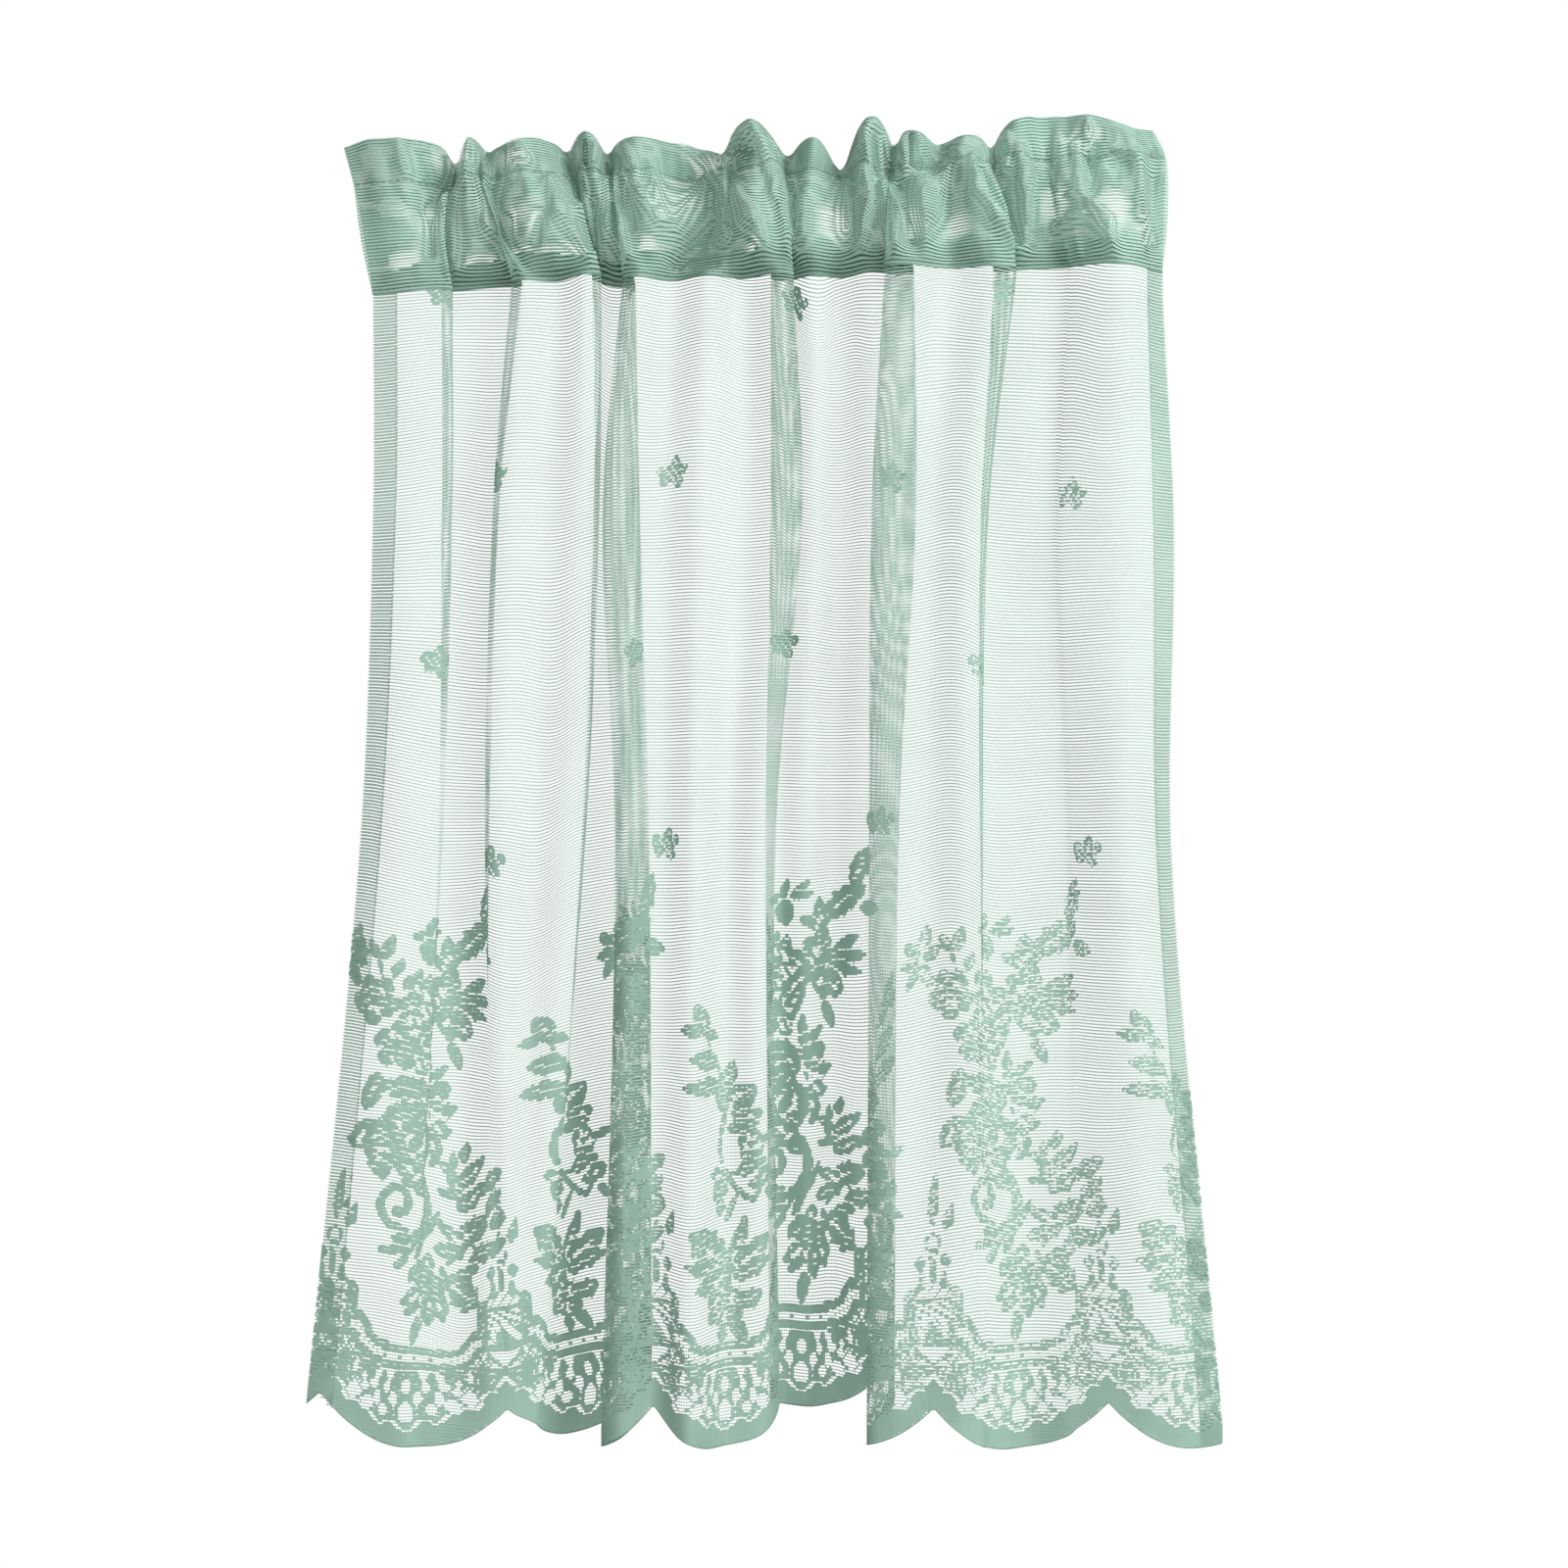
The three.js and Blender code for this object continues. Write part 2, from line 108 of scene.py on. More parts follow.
def glide(values, shares, levels):  # a smooth value between four given ones, for each share of the way
    values = np.asarray(values, float)
    at = np.clip(shares, 0, 1)
    i = np.clip(np.searchsorted(levels, at, side="right") - 1, 0, 2)
    low, high = np.maximum(np.arange(4) - 1, 0), np.minimum(np.arange(4) + 1, 3)
    slope = (values[..., high] - values[..., low]) / (levels[high] - levels[low])
    span = levels[i + 1] - levels[i]
    t = (at - levels[i]) / span
    return smooth(t, span, values[..., i], slope[..., i], values[..., i + 1], slope[..., i + 1]).T


def sectionKnots(table, levels, shares, rises):  # fold lines and the swells between, a row a share
    _, swells, sides, _, across, depth = zip(*table)
    x, y = glide(across, shares, levels), glide(depth, shares, levels)
    knots, chord, at = [], [], []
    for i, (ripples, side) in enumerate(zip(swells, sides)):
        at.append(len(knots))
        knots.append((x[:, i], y[:, i]))
        chord.append(y[:, i])
        if i == len(table) - 1:
            break
        for k in range(ripples):
            t = (k + 0.5) / ripples
            ripple = -1 if k % 2 else 1
            swell = math.sin(math.pi * t) if ripples % 2 else 0
            run = hanging["rippleFade"] * np.clip(shares, 0, 1)
            rise = side * rises[:, i] * (ripple * (1 - run) + (swell or ripple) * run)
            base = y[:, i] + (y[:, i + 1] - y[:, i]) * t
            knots.append((x[:, i] + (x[:, i + 1] - x[:, i]) * t, base + rise))
            chord.append(base)
    return np.array(knots).transpose(2, 0, 1), np.array(chord).T, at


def sectionCurve(points, at, steps):  # centripetal curve through the knots, with lengths
    step = points[:, 1:] - points[:, :-1]
    gap = np.maximum(np.linalg.norm(step, axis=2), 1e-6) ** 0.5
    tangent = np.empty_like(points)
    tangent[:, 0], tangent[:, -1] = step[:, 0] / gap[:, :1], step[:, -1] / gap[:, -1:]
    before, after = gap[:, :-1, None], gap[:, 1:, None]
    whole = points[:, 2:] - points[:, :-2]
    tangent[:, 1:-1] = step[:, :-1] / before - whole / (before + after) + step[:, 1:] / after
    t = (np.arange(steps) / steps)[None, None, :, None]
    span = gap[:, :, None, None]
    b, c = points[:, :-1, None], points[:, 1:, None]
    curve = smooth(t, span, b, tangent[:, :-1, None], c, tangent[:, 1:, None])
    curve = curve.reshape(len(points), -1, 2)
    curve = np.concatenate([curve, points[:, -1:]], axis=1)
    length = np.linalg.norm(np.diff(curve, axis=1), axis=2)
    along = np.concatenate([np.zeros((len(points), 1)), np.cumsum(length, axis=1)], axis=1)
    return curve, along, along[:, [k * steps for k in at]]


def solveDrape(table, levels, rows, columns):  # tables of x, y and the swell's depth, by share and u
    shares = np.linspace(0, 1, rows)
    u = np.linspace(0, cloth["width"], columns)
    _, swells, _, flat, _, _ = zip(*table)
    rises = np.full((rows, len(table)), float(hanging["firstRise"]))
    cut = glide(flat, shares, levels)
    wanted = np.diff(cut, axis=1)
    for _ in range(hanging["sweeps"]):  # each stretch bows out until it is as long as its cloth
        points, _, at = sectionKnots(table, levels, shares, rises)
        found = np.diff(sectionCurve(points, at, hanging["solveSteps"])[2], axis=1)
        for i, ripples in enumerate(swells[:-1]):
            if ripples:
                change = (wanted[:, i] - found[:, i]) / (hanging["easing"] * ripples)
                rises[:, i] = np.clip(rises[:, i] + change, 0, hanging["mostRise"])
    points, chord, at = sectionKnots(table, levels, shares, rises)
    curve, along, foldAt = sectionCurve(points, at, hanging["curveSteps"])
    knotAt = np.arange(points.shape[1]) * hanging["curveSteps"]
    tables = {key: np.empty((rows, columns)) for key in ("x", "y", "ripple")}
    for r in range(rows):
        place = np.interp(u, cut[r], foldAt[r])
        tables["x"][r] = np.interp(place, along[r], curve[r, :, 0])
        tables["y"][r] = np.interp(place, along[r], curve[r, :, 1])
        tables["ripple"][r] = tables["y"][r] - np.interp(place, along[r, knotAt], chord[r])
    return tables, cut, u


def easeAlong(tables, key, cut, u, values):  # spreads a value of each fold line over the cloth between
    tables[key] = np.empty((len(cut), len(u)))
    for r, row in enumerate(np.broadcast_to(values, cut.shape)):
        i = np.clip(np.searchsorted(cut[r], u, side="right") - 1, 0, cut.shape[1] - 2)
        ease = (1 - np.cos(np.pi * (u - cut[r, i]) / (cut[r, i + 1] - cut[r, i]))) / 2
        tables[key][r] = row[i] + (row[i + 1] - row[i]) * ease


panel, panelCut, panelU = solveDrape(folds, panelLevels, hanging["rows"], hanging["columns"])
seams, lifts, slumps = zip(*foldLevels)
easeAlong(panel, "seam", panelCut, panelU, seams)
easeAlong(panel, "hem", panelCut, panelU, lifts)
easeAlong(panel, "slump", panelCut, panelU, glide(slumps, np.linspace(0, 1, hanging["rows"]), panelLevels))


def sample(table, u, share):  # a value of a drape table between its rows and columns
    row = np.clip(share, 0, 1) * (table.shape[0] - 1)
    column = np.clip(u / cloth["width"], 0, 1) * (table.shape[1] - 1)
    r, c = np.minimum(row.astype(int), table.shape[0] - 2), np.minimum(column.astype(int), table.shape[1] - 2)
    fr, fc = row - r, column - c
    return (
        table[r, c] * (1 - fr) * (1 - fc) + table[r, c + 1] * (1 - fr) * fc
        + table[r + 1, c] * fr * (1 - fc) + table[r + 1, c + 1] * fr * fc
    )


# Where the courses sag or lift besides: place on the flat cloth, reach across and down, lift
sags = [
    (36, 90, 14, 80, 4), (30, 380, 14, 120, 3.5), (66, 90, 10, 60, 2), (84, 290, 14, 50, 4),
    (70, 455, 15, 62, -9), (140, 60, 13, 60, -6), (132, 190, 14, 60, -8), (122, 270, 13, 40, -7),
    (112, 330, 12, 30, -5), (204, 30, 20, 40, 5), (276, 70, 15, 75, 3), (300, 40, 14, 60, 3),
    (274, 325, 14, 45, -3), (346, 440, 16, 90, 5), (402, 15, 12, 22, -8), (408, 75, 16, 70, -5),
    (440, 30, 10, 22, -5), (452, 220, 36, 55, 6), (456, 325, 40, 55, 12), (440, 450, 34, 50, 7),
    (530, 20, 14, 30, 6), (546, 90, 22, 80, 8), (550, 300, 20, 150, 10), (560, 440, 18, 60, 5),
    (646, 40, 14, 60, -5), (678, 300, 22, 90, -6), (655, 425, 20, 45, 6), (170, 30, 12, 40, 4),
]
# Where the knitted pattern has crept sideways: place, reach across and down, and how far
creeps = [
    (45, 515, 22, 30, 5), (122, 405, 13, 34, 13), (138, 462, 16, 24, 5), (148, 522, 20, 26, -11),
    (318, 430, 34, 130, -5), (408, 440, 34, 140, -2),
]
# How the courses wander: rows and columns of the table, courses of it above the seam, then its
# spread and the width of a column in millimetres
wander = {"rows": 420, "columns": 40, "above": 30, "spread": 0.06, "reach": 18}
unevenCourses = np.random.default_rng(11).normal(0, wander["spread"], (wander["rows"], wander["columns"]))


def uneven(u, s):  # each course lies a little off its line
    row = np.clip(s / cloth["course"] + wander["above"], 0, wander["rows"] - 1.1)
    column = np.clip(u / wander["reach"], 0, wander["columns"] - 1.1)
    r, c = row.astype(int), column.astype(int)
    fr, fc = row - r, (1 - np.cos(np.pi * (column - c))) / 2
    low = unevenCourses[r, c] * (1 - fc) + unevenCourses[r, c + 1] * fc
    high = unevenCourses[r + 1, c] * (1 - fc) + unevenCourses[r + 1, c + 1] * fc
    return low * (1 - fr) + high * fr


def bumps(table, u, s):  # the sum of soft humps
    total = np.zeros(np.broadcast(u, s).shape)
    for atU, atS, reachU, reachS, amount in table:
        total += amount * np.exp(-(((u - atU) / reachU) ** 2) - ((s - atS) / reachS) ** 2)
    return total


def scallop(u):  # how far the edge reaches below the notches
    turn = ((u - cloth["firstNotch"]) / cloth["scallopWidth"]) % 1
    return cloth["scallopDepth"] * (1 - np.abs(2 * turn - 1) ** cloth["scallopPower"])


def hang(u, s):  # flat cloth to its place as hung, in millimetres
    u, s = np.broadcast_arrays(np.asarray(u, float), np.asarray(s, float))
    share = s / (cloth["notchDrop"] + cloth["scallopDepth"] / 2)
    seam = sample(panel["seam"], u, share)
    hem = cloth["seamLevel"] - cloth["notchDrop"] + sample(panel["hem"], u, share)
    z = seam + (hem - seam) * s / cloth["notchDrop"] + sample(panel["slump"], u, share)
    hemwards = np.clip((cloth["notchDrop"] + hanging["hemClear"] - s) / hanging["hemFade"], 0, 1)
    z += (bumps(sags, u, s) + uneven(u, s)) * hemwards
    fade = np.clip(1 - np.clip(share, 0, 1) ** 8, 0, 1) * np.clip(share * 12, 0, 1)
    z -= hanging["bow"] * sample(panel["ripple"], u, share) * (z - view["height"] / mm) * fade
    return np.stack([sample(panel["x"], u, share), sample(panel["y"], u, share), z], axis=-1)


def seamAt(u):  # height of the lower seam
    return sample(panel["seam"], np.asarray(u, float), np.zeros(np.shape(u)))


def normals(u, s):  # towards the front
    probe = hanging["probe"]
    across = hang(u + probe, s) - hang(u - probe, s)
    down = hang(u, s + probe) - hang(u, s - probe)
    out = np.cross(down, across)
    return out / np.maximum(np.linalg.norm(out, axis=-1, keepdims=True), 1e-9)


print("drape solved")


def addMesh(name, vertices, faces, uv, material, smooth=True):  # from millimetres, unused vertices left out
    mesh = bpy.data.meshes.new(name)
    faces = np.asarray(faces, int)
    used, corners = np.unique(faces, return_inverse=True)
    places = np.asarray(vertices, float).reshape(-1, 3)[used] * mm
    mesh.vertices.add(len(places))
    mesh.vertices.foreach_set("co", places.ravel())
    mesh.loops.add(faces.size)
    mesh.loops.foreach_set("vertex_index", corners.ravel())
    mesh.polygons.add(len(faces))
    mesh.polygons.foreach_set("loop_start", np.arange(0, faces.size, faces.shape[1]))
    layer = mesh.uv_layers.new(name="OFBake")
    layer.data.foreach_set("uv", np.asarray(uv, float).reshape(-1, 2)[faces.ravel()].ravel())
    mesh.update(calc_edges=True)
    mesh.validate()
    if smooth:
        mesh.shade_smooth()
    obj = bpy.data.objects.new(name, mesh)
    scene.collection.objects.link(obj)
    mesh.materials.append(material)
    return obj


uvRoom = {"left": 20, "above": 200}  # for what lies past the left edge and above the seam


def flatUv(u, s):  # the flat cloth laid on the unit square, one metre to the side
    u, s = np.broadcast_arrays(np.asarray(u, float), np.asarray(s, float))
    return np.stack([(u + uvRoom["left"]) * mm, (s + uvRoom["above"]) * mm], axis=-1)


def stripUv(u, top, bottom):  # the same for both edges of many strips
    return np.concatenate([flatUv(u, top).reshape(-1, 2), flatUv(u, bottom).reshape(-1, 2)])


def ribbons(top, bottom, keep):  # quads between both edges: [strip, station, 3], keep [strip, station - 1]
    strips, stations = top.shape[:2]
    index = np.arange(strips * stations).reshape(strips, stations)
    low = index + strips * stations
    quads = np.stack([low[:, :-1], low[:, 1:], index[:, 1:], index[:, :-1]], axis=-1)
    return np.concatenate([top.reshape(-1, 3), bottom.reshape(-1, 3)]), quads[keep]


def addParts(name, parts, material):  # one mesh of several parts, each its vertices, faces and UVs
    vertices, faces, uv = zip(*parts)
    starts = np.cumsum([0] + [len(part) for part in vertices])
    faces = [part + start for part, start in zip(faces, starts)]
    return addMesh(name, np.concatenate(vertices), np.concatenate(faces), np.concatenate(uv), material)


dye = {
    "patches": 42, "detail": 3, "cloud": (0.3, 0.7), "lightness": (0.93, 1.06),
    "letsThrough": 0.3, "roughness": 0.85, "specular": 0.2,
}


def yarnGroup():  # the dye of the yarn, a little cloudy, with the faint ribs of its wales
    group = bpy.data.node_groups.new("knittedYarn", "ShaderNodeTree")
    group.interface.new_socket("Colour", in_out="INPUT", socket_type="NodeSocketColor")
    group.interface.new_socket("Ribs", in_out="INPUT", socket_type="NodeSocketFloat")
    group.interface.new_socket("Dyed", in_out="OUTPUT", socket_type="NodeSocketColor")
    nodes, links = group.nodes, group.links
    given, made = nodes.new("NodeGroupInput"), nodes.new("NodeGroupOutput")
    flat = nodes.new("ShaderNodeUVMap")
    flat.uv_map = "OFBake"
    split = nodes.new("ShaderNodeSeparateXYZ")
    links.new(flat.outputs[0], split.inputs[0])
    last = split.outputs["X"]
    for operation, amount in (("MULTIPLY", 2 * math.pi / (cloth["wale"] * mm)), ("SINE", 0)):
        step = nodes.new("ShaderNodeMath")
        step.operation = operation
        links.new(last, step.inputs[0])
        step.inputs[1].default_value = amount
        last = step.outputs[0]
    patchy = nodes.new("ShaderNodeTexNoise")
    links.new(nodes.new("ShaderNodeTexCoord").outputs["Object"], patchy.inputs["Vector"])
    patchy.inputs["Scale"].default_value = dye["patches"]
    patchy.inputs["Detail"].default_value = dye["detail"]
    cloudy = nodes.new("ShaderNodeMapRange")
    links.new(patchy.outputs[0], cloudy.inputs["Value"])
    cloudy.inputs["From Min"].default_value, cloudy.inputs["From Max"].default_value = dye["cloud"]
    cloudy.inputs["To Min"].default_value, cloudy.inputs["To Max"].default_value = dye["lightness"]
    tone = nodes.new("ShaderNodeMath")
    tone.operation = "MULTIPLY_ADD"
    links.new(last, tone.inputs[0])
    links.new(given.outputs["Ribs"], tone.inputs[1])
    links.new(cloudy.outputs[0], tone.inputs[2])
    dyed = nodes.new("ShaderNodeVectorMath")
    dyed.operation = "SCALE"
    links.new(given.outputs["Colour"], dyed.inputs[0])
    links.new(tone.outputs[0], dyed.inputs["Scale"])
    links.new(dyed.outputs[0], made.inputs[0])
    return group


knittedYarn = yarnGroup()


def yarn(name, colour, ribs):  # matt yarn that lets some light through
    material = bpy.data.materials.new(name)
    material.use_nodes = True
    nodes, links = material.node_tree.nodes, material.node_tree.links
    dyed = nodes.new("ShaderNodeGroup")
    dyed.node_tree = knittedYarn
    dyed.inputs["Colour"].default_value = (*colour, 1)
    dyed.inputs["Ribs"].default_value = ribs
    shader, through = nodes["Principled BSDF"], nodes.new("ShaderNodeBsdfTranslucent")
    shader.inputs["Roughness"].default_value = dye["roughness"]
    shader.inputs["Specular IOR Level"].default_value = dye["specular"]
    links.new(dyed.outputs[0], shader.inputs["Base Color"])
    links.new(dyed.outputs[0], through.inputs["Color"])
    both = nodes.new("ShaderNodeMixShader")
    both.inputs[0].default_value = dye["letsThrough"]
    links.new(shader.outputs[0], both.inputs[1])
    links.new(through.outputs[0], both.inputs[2])
    links.new(both.outputs[0], nodes["Material Output"].inputs["Surface"])
    return material


# Name, colour, and how strongly the ribs show
netYarn = yarn("mintNet", (0.36, 0.5, 0.43), 0)
# The heading's front yarn is the net's yarn painted lighter: painted light where the front lamps fall on it
paintedLitHeadYarn = yarn("mintHeadingPaintedLight", (0.445, 0.63, 0.54), 0)
# The pocket's hinder wall is the same yarn painted darker: painted shade cast on it by the front wall
paintedShadeHinderYarn = yarn("mintShaded", (0.2, 0.34, 0.27), 0)
solidYarn = yarn("mintSolid", (0.3, 0.45, 0.375), 0.07)
edgeYarn = yarn("mintEdge", (0.2, 0.33, 0.265), 0)

# The hanging net: half widths of its bars and threads, steps of the mesh along them, courses from
# the seam, and how much closer it is towards the right
net = {
    "barHalf": 0.25, "foldReach": 5, "foldStep": 1.0, "flatStep": 4.2, "threadHalf": 0.045, "threadStep": 12,
    "coursesAbove": 22, "coursesBelow": 365, "closer": 0.2, "closerFrom": 500, "closerOver": 60, "tuck": 0.05,
}


def stationLine():  # places along a course, close together near the fold lines
    marks = sorted({round(place, 1) for _, _, _, flat, _, _ in folds for place in flat})
    u, line = 0.0, [0.0]
    while u < cloth["width"]:
        near = min(abs(u - m) for m in marks)
        u += net["foldStep"] if near < net["foldReach"] else net["flatStep"]
        line.append(min(u, cloth["width"]))
    return np.array(line)


stations = stationLine()
courses = (np.arange(-net["coursesAbove"], net["coursesBelow"]) + 0.5) * cloth["course"]
print("stations", len(stations), "courses", len(courses))


def barHalf(u):  # the net is a little closer towards the right
    return net["barHalf"] * (1 + net["closer"] * np.clip((u - net["closerFrom"]) / net["closerOver"], 0, 1))


def barMesh(name, rows, material):  # one flat bar of yarn for each course
    u, s = np.meshgrid(stations, rows)
    half = barHalf(u)
    top, bottom = hang(u, s - half), hang(u, s + half)
    below = bottom[..., 2] < seamAt(u) - net["tuck"]
    for edge in (top, bottom):
        edge[..., 2] = np.minimum(edge[..., 2], seamAt(u))
    inside = s + half < cloth["notchDrop"] + scallop(u)
    keep = (below[:, 1:] | below[:, :-1]) & inside[:, 1:] & inside[:, :-1]
    return addMesh(name, *ribbons(top, bottom, keep), stripUv(u, s - half, s + half), material)


middle = len(courses) // 2
upperBars = barMesh("upperBars", courses[:middle], netYarn)
lowerBars = barMesh("lowerBars", courses[middle:], netYarn)
print("bars", len(upperBars.data.polygons), len(lowerBars.data.polygons))


def threadMesh(name, material):  # the fine threads that join one course to the next
    lines = np.arange(1, int(cloth["width"] / cloth["wale"])) * cloth["wale"]
    rows = np.arange(0, cloth["notchDrop"] + cloth["scallopDepth"], net["threadStep"])
    s, u = np.meshgrid(rows, lines)
    left, right = hang(u - net["threadHalf"], s), hang(u + net["threadHalf"], s)
    keep = s[:, 1:] < cloth["notchDrop"] + scallop(u[:, 1:])
    return addMesh(name, *ribbons(left, right, keep), stripUv(u, s, s), material)


threads = threadMesh("joiningThreads", netYarn)
edging = {"step": 1.4, "above": 0.55, "below": 0.1, "proud": 0.3}


def edgeMesh(name, material):  # the bound edge of the scallops, a fine cord of yarn
    u = np.arange(0, cloth["width"] + 0.1, edging["step"])
    s = cloth["notchDrop"] + scallop(u)
    inner, outer = hang(u, s - edging["above"]), hang(u, s + edging["below"])
    out = normals(u, s) * edging["proud"]
    top, bottom = np.stack([inner, outer + out]), np.stack([outer + out, outer - out])
    vertices, faces = ribbons(top, bottom, np.ones((2, len(u) - 1), bool))
    return addMesh(name, vertices, faces, np.tile(flatUv(u, s), (4, 1)), material)


hemEdge = edgeMesh("hemEdge", edgeYarn)

# The knitted pattern. One repeat of the chart: p runs across from the notch left of the bouquet,
# q up from the notches
pattern = {"repeat": 2 * cloth["scallopWidth"], "wales": 140, "low": -23.25, "rows": 380}
walePitch = pattern["repeat"] / pattern["wales"]
p, q = np.meshgrid(
    (np.arange(pattern["wales"]) + 0.5) * walePitch,
    pattern["low"] + (np.arange(pattern["rows"]) + 0.5) * cloth["course"],
)
filled = np.zeros(p.shape, bool)
opened = np.zeros(p.shape, bool)
band = np.zeros(p.shape, bool)  # the close stitches along the hem


def aside(x):  # how far each cell lies to the right of x, round the repeat
    return (p - x + pattern["repeat"] / 2) % pattern["repeat"] - pattern["repeat"] / 2


def lay(shape):  # knits a shape solid
    filled[shape] = True
    opened[shape] = False


def outline(points):  # open dashes along a shape's edge, only where it crosses another
    for x, y in points:
        at = (np.abs(aside(x)) < walePitch) & (np.abs(q - y) <= cloth["course"] / 2) & filled
        opened[at] = True


def openAt(x, y, wales=2):  # one short open dash
    dash = (np.abs(aside(x)) < wales * walePitch / 2) & (np.abs(q - y) <= cloth["course"] / 2)
    opened[dash] = True


def spline(points, step=0.8):  # a smooth line through the points, in short steps
    points = np.array(points, float)
    padded = np.vstack([2 * points[0] - points[1], points, 2 * points[-1] - points[-2]])
    line = []
    for a, b, c, d in zip(padded, padded[1:], padded[2:], padded[3:]):
        n = max(int(np.linalg.norm(c - b) / step), 1)
        t = (np.arange(n) / n)[:, None]
        line.append(0.5 * (2 * b + (c - a) * t + (2 * a - 5 * b + 4 * c - d) * t**2
                           + (3 * b - a - 3 * c + d) * t**3))
    return np.vstack(line + [points[-1:]])


def chain(points, gap=2.6, wales=2):  # a row of open dashes
    line = spline(points, 0.3)
    run = np.concatenate([[0], np.cumsum(np.linalg.norm(np.diff(line, axis=0), axis=1))])
    for at in np.arange(gap / 2, run[-1], gap):
        openAt(np.interp(at, run, line[:, 0]), np.interp(at, run, line[:, 1]), wales)


def away(points):  # how far each cell lies from a line
    near = np.full(p.shape, 99.0)
    for x, y in spline(points):
        near = np.minimum(near, np.hypot(aside(x), q - y))
    return near


def stroke(points, half):  # a stem or scroll
    lay(away(points) < half)


def twill(shape, run=2, step=4, lean=1):  # slanting rows of short open dashes
    wale = np.floor(p / walePitch).astype(int)
    row = np.floor(q / cloth["course"]).astype(int)
    opened[shape & ((wale + lean * row) % step < run)] = True


def leafHalf(half, t):  # half a leaf's width, a share t of the way to its tip
    return 1.15 * half * np.sin(np.pi * t**0.8) ** 0.65


def leaf(x0, y0, x1, y1, half, teeth=0, vein=True):  # from its stalk to its tip
    length = math.hypot(x1 - x0, y1 - y0)
    ax, ay = (x1 - x0) / length, (y1 - y0) / length
    t = (aside(x0) * ax + (q - y0) * ay) / length
    off = np.abs(-aside(x0) * ay + (q - y0) * ax)
    inner = np.clip(t, 0, 1)
    wide = leafHalf(half, inner)
    if teeth:
        wide *= 1.08 - 0.34 * ((inner * teeth) % 1)
    for k in np.arange(0.16, 1.0, 3.2 / length):
        reach = leafHalf(half, k) + 1.2
        outline([(x0 + ax * k * length - side * ay * reach, y0 + ay * k * length + side * ax * reach)
                 for side in (-1, 1)])
    lay((t > -0.02) & (t < 1.02) & (off < wide + 0.2))
    if vein:
        chain([(x0 + (x1 - x0) * share, y0 + (y1 - y0) * share) for share in (0.12, 0.7)])


def leaves(rows):  # each row what leaf is given: stalk, tip, half width, then teeth, then the vein
    for row in rows:
        leaf(*row)


def sideVeins(x0, y0, x1, y1, reach, count):  # slanting dashes either side of a leaf's rib
    length = math.hypot(x1 - x0, y1 - y0)
    ax, ay = (x1 - x0) / length, (y1 - y0) / length
    for k in range(count):
        t = 0.2 + 0.5 * k / max(count - 1, 1)
        x, y = x0 + (x1 - x0) * t, y0 + (y1 - y0) * t
        for side in (-1, 1):
            chain([(x - side * ay * 1.5, y + side * ax * 1.5),
                   (x + (ax - side * ay) * reach * 0.7, y + (ay + side * ax) * reach * 0.7)], 2.4)


def blob(x, y, rx, ry):  # an oval, with open dashes where it crosses another shape
    for a in np.arange(0, 2 * math.pi, 3.2 / max(rx, ry)):
        outline([(x + (rx + 1.2) * math.cos(a), y + (ry + 1.2) * math.sin(a))])
    lay(np.hypot(aside(x) / rx, (q - y) / ry) < 1)


def hole(x, y, w, h):  # a little pointed above and below
    filled[np.abs(aside(x) / (w / 2))**1.5 + np.abs((q - y) / (h / 2))**1.5 < 1] = False


def flower(x, y, r, petals, turn=0.0):  # round petals about a dotted middle
    for k in range(petals):
        a = turn + 2 * math.pi * k / petals
        blob(x + 0.62 * r * math.cos(a), y + 0.62 * r * math.sin(a), 0.42 * r, 0.42 * r)
    blob(x, y, 0.4 * r, 0.4 * r)
    for k in range(6):
        a = 2 * math.pi * k / 6
        openAt(x + 0.3 * r * math.cos(a), y + 0.3 * r * math.sin(a), 2)


# Of one scallop, each from its middle across and up from the notches: the ruled line over the
# hem band, the openings with their widths and heights, the edge of the close stitches, and the
# dotted lines between the openings
ruled = [(0, 24.9), (8, 25), (14, 25.6), (18.5, 27), (22, 29.6), (24, 33), (26, 36), (28.5, 37.6), (31.5, 37)]
ovals = [
    (0, -5.2, 8.2, 11), (0, 7.2, 6, 8.6), (5.9, 1.8, 5, 8), (9.2, 7, 4.6, 6), (11.4, -4, 5, 7),
    (14.4, 1.6, 4.6, 8), (16.4, 8.2, 5, 5), (19.4, -0.9, 6.2, 7), (21.6, 6, 5, 3.6), (22, 10.4, 4.6, 3.4),
    (27.4, 3.6, 7.6, 8), (28.4, 13.4, 5.6, 5), (34.4, 11.4, 5.6, 4.6), (33.8, 18, 4, 3.6),
    (40.2, 12.9, 4.4, 4.6),
]
rim = [
    (0, -12.7), (3, -12.7), (6.2, -9.2), (9, -8.4), (11, -9.6), (14.6, -9.4), (17.4, -5.6), (21, -5),
    (23.6, -2.2), (29, -1.8), (32, 0.6), (33.6, 5.4), (38, 7.4), (41, 11.4), (44.2, 15.6),
]
dotted = [
    [(6.2, -7.6), (5.8, -3.6)], [(16.8, -4.4), (16.2, -1.6)], [(23.6, -0.6), (23.2, 6.6)],
    [(23.2, 7), (27, 9.6)], [(27, 9.6), (32, 7.4)], [(31.6, 10), (31.6, 16.4)], [(23.4, 13), (33, 26.8)],
    [(27, 15.4), (35.6, 28)], [(36.6, 15.6), (40.6, 21.6)], [(37, 10.4), (39, 17)],
]


def mirrored(points, centre, side):  # a line of a figure on one side of its middle
    return [(centre + side * x, y) for x, y in points]


